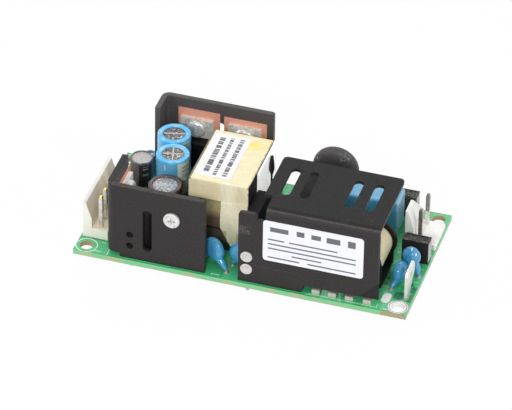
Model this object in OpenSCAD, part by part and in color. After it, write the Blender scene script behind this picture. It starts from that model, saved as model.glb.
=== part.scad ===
// Open-frame mains power supply on a four by two inch circuit board.
// The origin lies on the underside of the board, at the centre of its four mounting holes.
// +X points to the mains input end, +Y away from the labelled front, +Z up.

/* [Board] */
// Length of the board along X
board_l = 101.6; // [101:0.1:112]
// Width of the board along Y
board_w = 50.8; // [50.4:0.1:58]
// Thickness of the board
board_t = 1.6; // [1:0.1:2.4]
// Distance of the mounting holes from the edges
hole_inset = 3.175; // [2.8:0.005:3.6]
// Diameter of the mounting holes
hole_d = 4; // [3:0.1:4.2]
// Room round each lead in its drilled hole
drill_room = 0.2; // [0.1:0.05:0.3]
// Depth that the component leads reach below the board
lead_tip = 1.7; // [1:0.1:2]
// Depth that the heatsink legs and connector pins reach below the board
pin_tip = 2.2; // [2.1:0.1:3]
// Height of a solder joint below the board
solder_h = 0.9; // [0.5:0.1:1]
// Width of the solder ring round a lead
solder_ring = 0.55; // [0.3:0.05:0.7]

/* [Sheet metal] */
// Thickness of the heatsink sheet
sheet_t = 1.6; // [1.2:0.1:1.8]
// Outer radius of the bends
bend_r = 2.4; // [2:0.1:3]
// Distance of the back heatsink and the front sheets from the board's long edges
sheet_inset = 1; // [0.8:0.1:1.4]
// Diameter of the rivet holes
rivet_d = 2.2; // [1.6:0.1:2.6]
// Diameter of the rivet heads
rivet_head_d = 3.6; // [3:0.1:4]
// Thickness of the rivet heads
rivet_head_t = 0.5; // [0.3:0.1:0.8]
// Thickness of the soldered legs
leg_t = 0.8; // [0.5:0.1:1]
// Width of the soldered legs
leg_w = 2.6; // [2.4:0.1:3]
// Height of the soldered legs above the board
leg_h = 11.6; // [11.4:0.1:13]

/* [Left heatsink] */
// Length of its front wall
left_len = 30.2; // [28.5:0.1:31.5]
// Length of its side wall
left_return = 15.9; // [14:0.1:17]
// Height above the board
left_h = 25.6; // [23:0.1:28]
// Width of the slot in the front wall
left_slot_w = 2.8; // [2.2:0.1:3.2]
// Length of that slot
left_slot_h = 14.9; // [12:0.1:16]

/* [Back heatsink] */
// Length of its wall
back_len = 34.7; // [33:0.1:36]
// Length of its side flange
back_return = 8.8; // [6:0.1:10]
// Height above the board
back_h = 26.1; // [24:0.1:28]
// Width of the slot between the two pads
back_slot_w = 1.9; // [1.5:0.1:2.2]
// Length of that slot
back_slot_h = 15.6; // [12:0.1:17]

/* [Shroud] */
// Thickness of its sheet
shroud_t = 1; // [0.8:0.1:1.6]
// Length of the front wall
shroud_len = 42.4; // [41:0.1:43]
// Height above the board
shroud_h = 27.4; // [26.4:0.1:32]
// Depth of the top plate
shroud_depth = 26.9; // [25:0.1:28]
// Width of the ear at the left end
ear_w = 5.7; // [5:0.1:6.2]
// Width of the slots in the top plate
vent_w = 2.9; // [2:0.1:3.4]
// Length of the slots in the top plate
vent_l = 13.2; // [10:0.1:14]
// Length of the foot that stands on the board
foot_l = 19.7; // [17:0.1:21]
// Height of the raised lower edge above the board
foot_gap = 2.6; // [1.6:0.1:3]
// Thickness of the insulating sheet behind the front wall
liner_t = 0.4; // [0.2:0.1:0.6]
// Length of the label
label_l = 30.3; // [24:0.1:32]
// Height of the label
label_h = 14.3; // [11:0.1:15]
// Thickness of the labels
label_t = 0.15; // [0.1:0.05:0.3]

/* [Power devices] */
// Width of a device tab
tab_w = 10.1; // [9.6:0.1:10.4]
// Thickness of a device tab
tab_t = 1.3; // [1:0.1:1.5]
// Height of the tab above the screw
tab_top = 2.7; // [2.4:0.1:3.2]
// Depth of the body's lower end below the screw
body_drop = 12.8; // [12:0.1:13.4]
// Height of the moulded body
body_h = 9.2; // [8.4:0.1:9.4]
// Thickness of the moulded body in front of its tab
body_t = 3.2; // [2.8:0.1:3.4]
// Pitch of the device leads
device_pitch = 2.54; // [2.2:0.02:2.8]
// Thickness of the insulating pads
pad_t = 0.3; // [0.2:0.05:0.5]
// Diameter of the device screws
screw_d = 3; // [2.5:0.1:3.2]
// Diameter of the screw heads
screw_head_d = 5.6; // [5:0.1:6.2]
// Height of the screw heads
screw_head_h = 2.1; // [1.6:0.1:2.4]
// Diameter of the flat screw head on the front of the left heatsink
flat_head_d = 5; // [4.6:0.1:5.6]
// Height of that flat head
flat_head_h = 0.9; // [0.7:0.1:1.4]
// Room round a screw in the tab, pad and clearance holes
screw_room = 0.5; // [0.3:0.1:0.6]

/* [Transformer] */
// Width of the core along X
core_w = 18.3; // [17.8:0.1:18.6]
// Depth of the core along Y
core_d = 24.4; // [23:0.1:25]
// Height of the core
core_h = 21.6; // [20:0.1:23]
// Thickness of the core's yokes
yoke_t = 5.4; // [5:0.1:6]
// Thickness of the core's outer legs
core_leg_t = 3; // [2.6:0.1:3.2]
// Width of the centre post
post_w = 5.6; // [5:0.1:6]
// Depth of the centre post
post_d = 16; // [14:0.1:17]
// Wall of the coil former
former_t = 0.8; // [0.6:0.1:1]
// Height of the pin base
base_h = 2.4; // [2:0.1:3]
// Thickness of the tape wrap
tape_t = 0.4; // [0.3:0.05:0.5]
// Bulge of the tape's hanging tail
tail_bulge = 0.9; // [0.3:0.1:1.4]
// Pitch of the transformer pins
former_pitch = 3.5; // [3:0.1:3.8]

/* [Capacitors] */
// Diameter of the larger standing capacitors
big_can_d = 10; // [9:0.1:10.2]
// Height of the two blue capacitors
blue_h = 20.4; // [18:0.1:22]
// Height of the brown capacitor
brown_h = 18.6; // [16:0.1:20]
// Diameter of the black capacitor
black_d = 6.8; // [6:0.1:7]
// Height of the black capacitor
black_h = 18.4; // [15:0.1:20]
// Diameter of the small blue capacitor
small_d = 4; // [3.6:0.1:4.2]
// Height of the small blue capacitor
small_h = 7; // [6:0.1:8]
// Diameter of the lying mains capacitor
bulk_d = 15.8; // [14:0.1:16]
// Length of the lying mains capacitor
bulk_l = 31.5; // [29:0.1:32]
// Thickness of the capacitor sleeves
sleeve_t = 0.25; // [0.2:0.05:0.35]
// Length of the film capacitor
film_l = 16.5; // [15:0.1:16.6]
// Depth of the film capacitor
film_w = 8.7; // [8:0.1:9]
// Height of the film capacitor
film_h = 12.2; // [10:0.1:13]
// Diameter of the disc capacitors
disc_d = 7.2; // [6:0.1:7.6]
// Thickness of the disc capacitors
disc_t = 3.2; // [2.4:0.1:3.4]

// Thickness of the white barrier sheet beside the transformer
barrier_t = 0.5; // [0.3:0.05:0.5]
// Length of the barrier sheet
barrier_l = 18; // [15:0.1:19]
// Height of the barrier sheet
barrier_h = 23.4; // [20:0.1:23.8]
// Diameter of the sleeve on the transformer's flying lead
flying_d = 1.6; // [1.2:0.1:1.8]

/* [Mains parts] */
// Diameter of the thermistor disc
ntc_d = 14.2; // [12:0.1:15]
// Thickness of the thermistor disc
ntc_t = 4.6; // [3.6:0.1:5]
// Length of a box fuse
fuse_l = 8.2; // [7:0.1:8.4]
// Width of a box fuse
fuse_w = 3.7; // [3:0.1:3.8]
// Height of a box fuse
fuse_h = 7.8; // [7:0.1:9]
// Width of the bridge rectifier
bridge_w = 14.4; // [13:0.1:15]
// Thickness of the bridge rectifier
bridge_t = 3.5; // [3:0.1:4]
// Height of the bridge rectifier
bridge_h = 15.5; // [14:0.1:16]
// Diameter of the choke flanges
choke_d = 14; // [13:0.1:14.4]
// Length of the choke
choke_l = 14; // [12:0.1:14.6]
// Thickness of the choke flanges
flange_t = 1.2; // [0.8:0.1:1.6]
// Diameter of the choke's ferrite rod
rod_d = 5; // [4:0.1:6]
// Diameter of the upright output choke
rod_choke_d = 6; // [5:0.1:6.2]
// Height of the upright output choke
rod_choke_h = 15; // [12:0.1:16]
// Width of the earth blade
blade_w = 8; // [7:0.1:8.2]
// Height of the earth blade
blade_h = 8.8; // [8:0.1:10]
// Thickness of the earth blade
blade_t = 0.8; // [0.6:0.1:1]

/* [Connectors] */
// Pitch of the connector pins
pin_pitch = 3.96; // [3.8:0.02:4]
// Side of a connector pin
pin_w = 1.14; // [1:0.02:1.2]
// Number of output pins
output_count = 6; // [4:1:6]
// Height of the output connector's base
header_base_h = 3.3; // [2.5:0.1:4]
// Height of a connector's locking wall
header_wall_h = 12.3; // [10:0.1:13]
// Height of the output pins above the board
header_pin_h = 14.4; // [13:0.1:15]
// Height of the input connector's base
input_base_h = 1.8; // [1.4:0.1:2.6]
// Height of the input pins above the board
input_pin_h = 12.4; // [11.5:0.1:13.5]
// Depth of the output connector's base
output_depth = 7.8; // [7:0.1:8]
// Depth of the input connector's base
input_depth = 9.4; // [8.6:0.1:9.5]

/* [Small parts] */
// Width of a chip part
chip_w = 2.4; // [1.6:0.1:2.8]
// Length of a chip part
chip_l = 3.2; // [2.6:0.1:3.4]
// Height of a chip part
chip_h = 1.4; // [1:0.1:1.5]
// Length of a chip part's metal end
chip_end = 0.6; // [0.4:0.05:0.8]
// Length of the optocoupler's body along Y
opto_l = 4.8; // [4.4:0.1:5.2]
// Height of the optocoupler's body
opto_h = 3.4; // [3:0.1:3.8]

/* [Hidden] */
$fn = 48;
wire_d = 0.7;
strip_w = 0.8;
strip_t = 0.5;
touch = 0.01;
far = 200;
edge_x = board_l / 2;
edge_y = board_w / 2;
top = board_t;
hole_sx = board_l - 2 * hole_inset;
hole_sy = board_w - 2 * hole_inset;

// Free-standing parts keep their share of the board: places are written for the standard board
standard_l = 101.6;
standard_w = 50.8;
function px(x) = x * board_l / standard_l;
function py(y) = y * board_w / standard_w;
function at(x, y) = [px(x), py(y)];

// Sheet faces
front_y = sheet_inset - edge_y;
front_in = front_y + sheet_t;
back_y = edge_y - sheet_inset;
back_in = back_y - sheet_t;
shroud_in = front_y + shroud_t;
plate_r = 1.4;
sheet_r = 0.8;

// Left heatsink
left_x = px(-40.8);
left_in = left_x + sheet_t;
left_leg_x = left_x + 7.2;
left_hole_z = [top + 4.6, top + 8.6];
left_slot_at = [left_x + 12.6, top + 11.15];
left_notch = [4.1, 1.4];

// Back heatsink
back_x = px(-38.9);
back_leg_x = back_x + 3.7;
back_slot_at = [back_x + 18.4, top + 11.7];
back_step = [1.8, 15.6];

// Shroud
shroud_x = px(-0.4);
shroud_right = shroud_x + shroud_len;
shroud_top = top + shroud_h;
plate_end = front_y + shroud_depth;
plate_left = shroud_x + ear_w;
relief_w = 2.5;
relief_l = 7;
ear_top = shroud_top - bend_r;
ear_r = 1.2;
foot_r = 1.2;
corner_cut = [5.6, 6];
shroud_leg_x = shroud_x + 2.6;
rivet_z = [top + 4.8, top + 9.2];
vent_x = [for (d = [11.1, 16.75, 30.2, 36.4]) shroud_x + d];
vent_y = front_y + 15.3;
liner_left = shroud_x + foot_l + 0.2;
liner_low = top + 2;
label_at = [shroud_x + 7.5, top + 9.4];
label_r = 1;

// Power devices: place of each screw on its wall, and the way the wall faces
left_screw = [left_x + 20.2, front_in + pad_t, top + 17.1];
side_screw = [left_in + pad_t, front_y + 10.4, top + 17];
back_screw_a = [back_x + 11.2, back_in - pad_t, top + 17.6];
back_screw_b = [back_x + 26.1, back_in - pad_t, top + 17.8];
switch_screw = [shroud_x + 10, shroud_in + pad_t, top + 16.4];
device_depth = tab_t + body_t;
device_lead_y = tab_t + body_t / 3;
pad_margin = 1.3;
nut_af = 5.5;
nut_h = 2.4;

// Transformer
trafo = at(-10.4, 0.4);
core_low = top + base_h;
core_top = core_low + core_h;
window_h = core_h - 2 * yoke_t;
fit = 0.1;
former_w = post_w + 2 * (former_t + fit);
former_d = post_d + 2 * (former_t + fit);
window_w = (core_w - 2 * core_leg_t - post_w) / 2;
coil_w = post_w + 2 * window_w - 2 * fit;
coil_d = core_d - 0.8;
coil_r = 2.6;
coil_low = core_low + yoke_t + former_t;
coil_h = window_h - 2 * former_t;
pin_rows = [-10.2, 10.2];
tape_band = yoke_t + tape_t;
tail_l = [0.8, 9];
tail_low = core_low - 0.4;
tail_shoulder = core_low + 6.5;
paper_w = 11.2;
paper_l = 21.4;
paper_at = [trafo.x - 8.2, trafo.y - 10.6];

// Places of the standing capacitors
back_blue = at(-31.7, 11.5);
front_blue = at(-28.4, 0.9);
brown = at(-27.3, -10.3);
black = at(-38.1, 0.7);
small_blue = at(-41.1, 18);
can_groove = 0.6;
can_rim = 0.68;

// Mains end: the connector, the fuses and the blade keep to the right-hand edge of the board
input_x = edge_x - 0.2 - input_depth;
input_y = py(13.5);
front_fuse_at = [edge_x - 4.4, py(1.6)];
back_fuse_at = [input_x - 4.2, py(22.3)];
film = [input_x - 3.1 - film_l / 2, py(14.15)];
blade = [edge_x - 2.2, py(-13.8)];
bulk_end = [px(13.4), shroud_in + pad_t + device_depth + 2];
bulk_lead_gap = 0.9;
ntc = at(15.7, 21.6);
ntc_z = top + 12.4;
bridge = at(1, -8.6);
barrier = [trafo.x + core_w / 2, py(5.8)];
flying = [barrier.x + barrier_t + flying_d / 2, py(7.2)];
flying_z = [top + 7.4, top + 23];
bridge_gap = 2.4;
choke = at(34.4, -8.4);
choke_z = top + choke_d / 2 + 0.6;
coil_d_choke = choke_d - 2.4;
rod_choke = [left_x + 10.4, front_in + 3.9];
opto = [back_x + back_len - 0.4, back_in - 2.9];
opto_w = 4.6;
opto_span = 7.62;
opto_gap = 0.5;
chip_x = [for (d = [23.5, 28.5, 33.6, 39]) shroud_x + d];
chip_y = front_y + 2.1;
control = at(20, -2);
control_size = [4.9, 3.9, 1.3];

// Disc capacitors: place, turn about Z, height of the centre above the board, feet of the two legs
left_discs = [[at(-9.5, -19), -29, 5.5, [at(-4.6, -21.9), at(-13.4, -17)]],
              [at(-1.4, -18), 0, 4.8, [at(-3.9, -18), at(1.1, -18)]]];
line_discs = [[at(43.8, -10.3), 90, 4.6, [at(43.4, -14.6), at(43.8, -7.8)]],
              [[edge_x - 3.6, py(-5.6)], -40, 8.7, [[edge_x - 1.3, py(-6.5)], [edge_x - 5.9, py(-4.7)]]]];
disc_leg_d = 1.9;
disc_leg_end_d = 1;
disc_leg_gap = 0.6;
disc_leg_root = 0.3;

// Connectors
output_x = px(-46.3) - output_depth / 2;
output_pin_x = output_x + 5.1;
output_y0 = py(-6.4) - (output_count - 1) * pin_pitch / 2;
output_wall = 1.4;
input_pin_x = input_x + 4.1;
input_wall = 1.2;
header_margin = 2;
input_margin = [2.5, 1.2];

// Leads that pass through the board: place and thickness
function spin(v, a) = [v.x * cos(a) - v.y * sin(a), v.x * sin(a) + v.y * cos(a)];
function pair(c, pitch, a) = [for (s = [-1, 1]) c + spin([s * pitch / 2, 0], a)];
function row(c, n, pitch, a) = [for (i = [0 : n - 1]) c + spin([(i - (n - 1) / 2) * pitch, 0], a)];
function flat(p) = [p.x, p.y];
function device_leads(p, a) =
    [for (i = [-1 : 1]) flat(p) + spin([i * device_pitch, device_lead_y], a)];

devices = [[back_screw_a, 180], [back_screw_b, 180], [side_screw, -90], [left_screw, 0], [switch_screw, 0]];
cans = [[back_blue, big_can_d, blue_h], [front_blue, big_can_d, blue_h], [brown, big_can_d, brown_h],
        [black, black_d, black_h], [small_blue, small_d, small_h]];
can_leads = [for (c = cans) each pair(c[0], c[1] / 2, 0)];
bulk_leads = pair([bulk_end.x, bulk_end.y - bulk_lead_gap], bulk_d / 2, 0);
film_leads = pair(film, film_l - 3, 0);
ntc_leads = pair(ntc, 7.5, 0);
bridge_leads = row(bridge, 4, 3.8, 90);
front_fuse_leads = pair(front_fuse_at, 5, 0);
back_fuse_leads = pair(back_fuse_at, 5, 0);
flying_leads = [flying];
rod_choke_leads = pair(rod_choke, 3, 0);
choke_leads = [for (s = [-1, 1]) each pair(choke + [0, s * (choke_l / 2 - 1.2)], 9, 0)];
disc_leads = [for (d = concat(left_discs, line_discs)) each d[3]];
device_tails = [for (d = devices) each device_leads(d[0], d[1])];
opto_leads = [for (s = [-1, 1]) each pair(opto + [s * opto_span / 2, 0], 2.54, 90)];
former_pins = [for (y = pin_rows) each row(trafo + [0, y], 5, former_pitch, 0)];
output_pin_at = [for (i = [0 : output_count - 1]) [output_pin_x, output_y0 + i * pin_pitch]];
input_pin_at = [for (s = [-1, 1]) [input_pin_x, input_y + s * pin_pitch]];
legs_at = [[shroud_leg_x, shroud_in + leg_t / 2], [left_leg_x, front_in + leg_t / 2],
           [back_leg_x, back_in - leg_t / 2]];
blade_tails = pair(blade, blade_w - 2.2, 90);

wire_at = concat(can_leads, bulk_leads, film_leads, ntc_leads, bridge_leads, front_fuse_leads,
                 back_fuse_leads, choke_leads, disc_leads, flying_leads, rod_choke_leads);
strip_at = concat(device_tails, opto_leads);
pin_at = concat(output_pin_at, input_pin_at, legs_at, blade_tails);
pin_d = 1.1;
former_pin_d = 0.8;

// Shared shapes

// Rectangle with round corners, centred
module round_rect(l, w, r) {
    square([l - 2 * r, w], center = true);
    square([l, w - 2 * r], center = true);
    for (x = [-1, 1], y = [-1, 1])
        translate([x * (l / 2 - r), y * (w / 2 - r)])
            circle(r);
}

// Box with soft edges, standing on the ground plane
module soft_box(l, w, h, r) {
    translate([0, 0, h / 2])
        intersection() {
            linear_extrude(h, center = true)
                round_rect(l, w, r);
            rotate([90, 0, 0])
                linear_extrude(w, center = true)
                    round_rect(l, h, r);
            rotate([90, 0, 90])
                linear_extrude(l, center = true)
                    round_rect(w, h, r);
        }
}

// Plan of a bent sheet: outer corner at the origin, arms along +X and +Y
module bent_sheet(arm_x, arm_y, t) {
    difference() {
        union() {
            translate([bend_r, 0])
                square([arm_x - bend_r, t]);
            translate([0, bend_r])
                square([t, arm_y - bend_r]);
            intersection() {
                translate([bend_r, bend_r])
                    circle(bend_r);
                square(bend_r);
            }
        }
        translate([bend_r, bend_r])
            circle(bend_r - t);
    }
}

// Slot with round ends that cuts through along Y, long side along Z, centred
module upright_slot(w, l) {
    rotate([90, 0, 0])
        linear_extrude(far, center = true)
            slot_outline(w, l);
}

// Slot outline with round ends, long side along Y, centred
module slot_outline(w, l) {
    square([w, l - w], center = true);
    for (s = [-1, 1])
        translate([0, s * (l - w) / 2])
            circle(w / 2);
}

// Rod along Y, centred
module y_rod(d, l) {
    rotate([90, 0, 0])
        cylinder(d = d, h = l, center = true);
}

// Lead from the height z1 down through the board
module lead(p, d, tip, z1) {
    translate([p.x, p.y, -tip])
        cylinder(d = d, h = tip + z1);
}

// Puts its children on a wall: +Y leads away from the wall
module on_wall(p, a) {
    translate(p)
        rotate(a)
            children();
}

// Insulating pad behind a device, origin at the screw
module pad(left, right, above, below) {
    difference() {
        translate([-left, -pad_t, -below])
            cube([left + right, pad_t, above + below]);
        y_rod(screw_d + screw_room, 4 * pad_t);
    }
}

// Pad of the plain size
module plain_pad() {
    side = tab_w / 2 + pad_margin;
    pad(side, side, tab_top + pad_margin, body_drop - pad_margin);
}

// Moulded body of a power device
module device_body() {
    ramp = 0.5;
    waist = tab_w - 0.2;
    translate([0, 0, -body_drop])
        rotate([90, 0, 90])
            linear_extrude(waist, center = true)
                polygon([[tab_t, 0], [tab_t + body_t - ramp, 0], [tab_t + body_t, ramp],
                         [tab_t + body_t, body_h - ramp], [tab_t + body_t - ramp, body_h],
                         [tab_t, body_h]]);
}

// Metal tab and leads of a power device whose screw lies at the height z
module device_tab(z) {
    notch = 0.7;
    tab_h = body_drop + tab_top;
    difference() {
        translate([-tab_w / 2, 0, -body_drop])
            cube([tab_w, tab_t, tab_h]);
        y_rod(screw_d + screw_room, 4 * tab_t);
        for (s = [-1, 1])
            translate([s * tab_w / 2, 0, body_h - body_drop + notch])
                rotate([90, 0, 0])
                    cylinder(r = notch, h = 4 * tab_t, center = true);
    }
    strip_l = z - body_drop - top;
    for (i = [-1 : 1]) {
        translate([i * device_pitch - strip_w / 2, device_lead_y - strip_t / 2, -body_drop - strip_l])
            cube([strip_w, strip_t, strip_l]);
        lead([i * device_pitch, device_lead_y], strip_t, lead_tip + z, top - z);
    }
}

// Screw: the head lies on +Y of the origin, the shank of length l on -Y
module screw(l, head_d, head_h) {
    crown = head_h / 4;
    rotate([90, 0, 0]) {
        cylinder(d = screw_d, h = l);
        translate([0, 0, crown - head_h])
            cylinder(d = head_d, h = head_h - crown);
        translate([0, 0, -head_h])
            cylinder(d1 = head_d - 2 * crown, d2 = head_d, h = crown);
    }
}

// Outline of a round can from its axis, with the crimp groove at its foot
module can_outline(r, h) {
    edge = 0.5;
    groove_z = 2;
    polygon([[0, 0], [r - edge, 0], [r, edge], [r, groove_z - can_groove], [r - can_groove, groove_z],
             [r, groove_z + can_groove], [r, h - edge], [r - edge, h], [0, h]]);
}

// Plastic sleeve of a can, folded over its top
module sleeve(d, h) {
    rotate_extrude()
        difference() {
            can_outline(d / 2, h);
            can_outline(d / 2 - sleeve_t, h - sleeve_t);
            translate([0, h - 2])
                square([can_rim * d / 2, 4]);
            translate([0, -touch])
                square([d / 2 - sleeve_t, 1]);
        }
}

// Metal can inside a sleeve, with a cross of vent grooves in its top
module can(d, h) {
    vent = [0.3, 0.2];
    inner_h = h - sleeve_t;
    reach = 1.1 * can_rim * d / 2;
    difference() {
        rotate_extrude()
            difference() {
                can_outline(d / 2 - sleeve_t, inner_h);
                translate([d / 2 - sleeve_t, 0])
                    square(1);
            }
        for (a = [0, 90])
            rotate(a)
                translate([-reach / 2, -vent.x / 2, inner_h - vent.y])
                    cube([reach, vent.x, 1]);
    }
}

// Disc with a round rim whose faces look along Y, centred
module lens(d, t) {
    flat_r = (d - t) / 2;
    rotate([90, 0, 0])
        rotate_extrude() {
            translate([0, -t / 2])
                square([flat_r, t]);
            translate([flat_r, 0])
                intersection() {
                    circle(t / 2);
                    translate([0, -t])
                        square([t, 2 * t]);
                }
        }
}

// Tapered round bar from one point to another
module taper_bar(from, to, d1, d2) {
    v = to - from;
    translate(from)
        rotate([0, acos(v.z / norm(v)), atan2(v.y, v.x)])
            cylinder(d1 = d1, d2 = d2, h = norm(v));
}

// Coated disc on two coated legs that taper to their feet
module disc_capacitor(d) {
    centre = [d[0].x, d[0].y, top + d[2]];
    difference() {
        union() {
            translate(centre)
                rotate(d[1])
                    lens(disc_d, disc_t);
            for (f = d[3]) {
                foot = [f.x, f.y, top];
                root = centre + disc_leg_root * disc_d * (foot - centre) / norm(foot - centre);
                taper_bar(root, foot, disc_leg_d, disc_leg_end_d);
            }
        }
        translate([d[0].x, d[0].y, top + disc_leg_gap - far / 2])
            cube(far, center = true);
    }
}

// Sub-parts

module board() {
    color("seagreen")
        difference() {
            translate([-edge_x, -edge_y, 0])
                cube([board_l, board_w, board_t]);
            for (x = [-1, 1], y = [-1, 1])
                translate([x * hole_sx / 2, y * hole_sy / 2, -1])
                    cylinder(d = hole_d, h = board_t + 2);
            for (p = wire_at)
                lead(p, wire_d + drill_room, 1, board_t + 1);
            for (p = strip_at)
                lead(p, strip_t + drill_room, 1, board_t + 1);
            for (p = former_pins)
                lead(p, former_pin_d + drill_room, 1, board_t + 1);
            for (p = pin_at)
                lead(p, pin_d + drill_room, 1, board_t + 1);
        }
}

module solder_joint(p, d) {
    translate([p.x, p.y, -solder_h])
        difference() {
            cylinder(d1 = d + solder_ring / 2, d2 = d + 2 * solder_ring, h = solder_h);
            translate([0, 0, -1])
                cylinder(d = d, h = solder_h + 2);
        }
}

module solder_joints() {
    color("silver") {
        for (p = wire_at)
            solder_joint(p, wire_d);
        for (p = strip_at)
            solder_joint(p, strip_t);
        for (p = former_pins)
            solder_joint(p, former_pin_d);
        for (p = pin_at)
            solder_joint(p, pin_d);
    }
}

module left_heatsink() {
    color([0.22, 0.21, 0.21])
        difference() {
            translate([left_x, front_y, top])
                linear_extrude(left_h)
                    bent_sheet(left_len, left_return, sheet_t);
            translate([left_x - 1, front_y - 1, top - 1])
                cube([left_notch.x + 1, left_return + 2, left_notch.y + 1]);
            translate([left_slot_at.x, front_y, left_slot_at.y])
                intersection() {
                    upright_slot(left_slot_w, left_slot_h);
                    cube([far, 4 * sheet_t, far], center = true);
                }
            for (z = left_hole_z)
                translate([left_leg_x, front_y, z])
                    y_rod(rivet_d, 4 * sheet_t);
            translate([left_screw.x, front_y, left_screw.z])
                y_rod(screw_d + screw_room, 4 * sheet_t);
            translate([left_x, side_screw.y, side_screw.z])
                rotate([0, 90, 0])
                    cylinder(d = screw_d, h = 4 * sheet_t, center = true);
            translate([left_x + left_len, front_y, top + left_h])
                wall_corner(sheet_r, -1);
            translate([left_x, front_y + left_return, top + left_h])
                rotate(90)
                    wall_corner(sheet_r, -1);
        }
}

module back_heatsink() {
    color([0.2, 0.19, 0.19])
        difference() {
            translate([back_x, back_y, top])
                mirror([0, 1, 0])
                    linear_extrude(back_h)
                        bent_sheet(back_len, back_return, sheet_t);
            translate([back_slot_at.x, back_y, back_slot_at.y])
                intersection() {
                    upright_slot(back_slot_w, back_slot_h);
                    cube([far, 4 * sheet_t, far], center = true);
                }
            translate([back_x + back_len - back_step.x, back_in - 1, top - 1])
                cube([back_step.x + 1, sheet_t + 2, back_step.y + 1]);
            for (p = [back_screw_a, back_screw_b])
                translate([p.x, back_y, p.z])
                    y_rod(screw_d, 4 * sheet_t);
            translate([back_x + back_len, back_y, top + back_h])
                wall_corner(sheet_r, -1);
        }
}

module shroud() {
    color([0.24, 0.23, 0.23])
        difference() {
            translate([shroud_x, front_y, shroud_top])
                rotate([90, 0, 90])
                    mirror([0, 1, 0])
                        linear_extrude(shroud_len)
                            bent_sheet(shroud_depth, shroud_h, shroud_t);
            // Ear: the plate and the fold stop at its right-hand side
            translate([shroud_x - 1, front_y - 1, ear_top])
                cube([ear_w + 1, shroud_depth + 2, far]);
            for (x = [shroud_x, plate_left])
                translate([x, front_y, ear_top])
                    wall_corner(ear_r, x == shroud_x ? 1 : -1);
            for (x = [plate_left, shroud_right])
                translate([x, plate_end - plate_r, shroud_top - 2 * shroud_t])
                    linear_extrude(4 * shroud_t)
                        corner_outline(plate_r, x == plate_left ? 1 : -1);
            translate([plate_left, front_y - 1, ear_top - 2])
                cube([relief_w, relief_l + 1, far]);
            // Slots in the plate
            for (x = vent_x)
                translate([x, vent_y, shroud_top - 2 * shroud_t])
                    linear_extrude(4 * shroud_t)
                        slot_outline(vent_w, vent_l);
            // Raised lower edge and slanted corner
            translate([shroud_x + foot_l, front_y - 1, top - 1])
                cube([far, shroud_t + 2, foot_gap + 1]);
            translate([shroud_x + foot_l, front_y, top])
                mirror([0, 0, 1])
                    wall_corner(foot_r, -1);
            translate([shroud_right, front_y - 1, top + foot_gap])
                rotate([-90, 0, 0])
                    linear_extrude(shroud_t + 2)
                        polygon([[-corner_cut.x, 0], [0, -corner_cut.y], [1, -corner_cut.y], [1, 1],
                                 [-corner_cut.x, 1]]);
            for (z = rivet_z)
                translate([shroud_leg_x, front_y, z])
                    y_rod(rivet_d, 4 * sheet_t);
            translate([switch_screw.x, front_y, switch_screw.z])
                y_rod(screw_d, 4 * sheet_t);
        }
}

// What a round upper corner takes away; side 1 is a left corner, -1 a right one
module corner_outline(r, side) {
    difference() {
        translate([side > 0 ? -1 : -r, 0])
            square([r + 1, r + 1]);
        translate([side * r, 0])
            circle(r);
    }
}

// Cutter for a round upper corner of a wall along X, origin at the corner
module wall_corner(r, side) {
    translate([0, 0, -r])
        rotate([90, 0, 0])
            linear_extrude(4 * sheet_t, center = true)
                corner_outline(r, side);
}

module shroud_insulator() {
    color([0.12, 0.12, 0.12])
        translate([liner_left, shroud_in, liner_low])
            cube([shroud_right - liner_left, liner_t, ear_top - liner_low]);
}

module shroud_label() {
    color("white")
        translate([label_at.x + label_l / 2, front_y - label_t, label_at.y + label_h / 2])
            rotate([-90, 0, 0])
                linear_extrude(label_t)
                    round_rect(label_l, label_h, label_r);
}

module shroud_rivets() {
    color("lightgray")
        for (z = rivet_z)
            translate([shroud_leg_x, front_y, z]) {
                rotate([-90, 0, 0])
                    cylinder(d = rivet_d, h = shroud_t + leg_t);
                rotate([90, 0, 0])
                    cylinder(d = rivet_head_d, h = rivet_head_t);
            }
}

// Upright leg with two rivet holes at the heights zs
module leg(p, zs) {
    difference() {
        translate([p.x - leg_w / 2, p.y - leg_t / 2, top])
            cube([leg_w, leg_t, leg_h]);
        for (z = zs)
            translate([p.x, p.y, z])
                y_rod(rivet_d, 2 * leg_t);
    }
    lead(p, pin_d, pin_tip, top);
}

module heatsink_pins() {
    color("gainsboro") {
        leg(legs_at[0], rivet_z);
        leg(legs_at[1], left_hole_z);
        leg(legs_at[2], []);
    }
}

module back_pad_left() {
    color([0.85, 0.6, 0.52])
        on_wall(back_screw_a, 180)
            pad(6.9, 6.1, 5.2, body_drop - pad_margin);
}

module back_pad_right() {
    color([0.85, 0.6, 0.52])
        on_wall(back_screw_b, 180)
            pad(6.6, 6.7, 4.4, body_drop - pad_margin);
}

module left_wall_pad() {
    color([0.85, 0.6, 0.52])
        on_wall(side_screw, -90)
            plain_pad();
}

module front_wall_pad() {
    color([0.85, 0.6, 0.52])
        on_wall(left_screw, 0)
            plain_pad();
}

module shroud_pad() {
    color([0.85, 0.6, 0.52])
        on_wall(switch_screw, 0)
            pad(tab_w / 2, tab_w / 2, tab_top + pad_margin, body_drop - pad_margin);
}

module device_body_at(d) {
    color([0.15, 0.15, 0.16])
        on_wall(d[0], d[1])
            device_body();
}

module device_tab_at(d) {
    color("silver")
        on_wall(d[0], d[1])
            device_tab(d[0].z);
}

module device_screws() {
    color("lightgray") {
        for (i = [0, 1, 2, 4])
            on_wall(devices[i][0], devices[i][1])
                translate([0, tab_t, 0])
                    screw(tab_t + pad_t + (i == 4 ? shroud_t : sheet_t), screw_head_d, screw_head_h);
        translate([left_screw.x, front_y, left_screw.z])
            rotate(180)
                screw(sheet_t + pad_t + tab_t + nut_h, flat_head_d, flat_head_h);
    }
}

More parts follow.
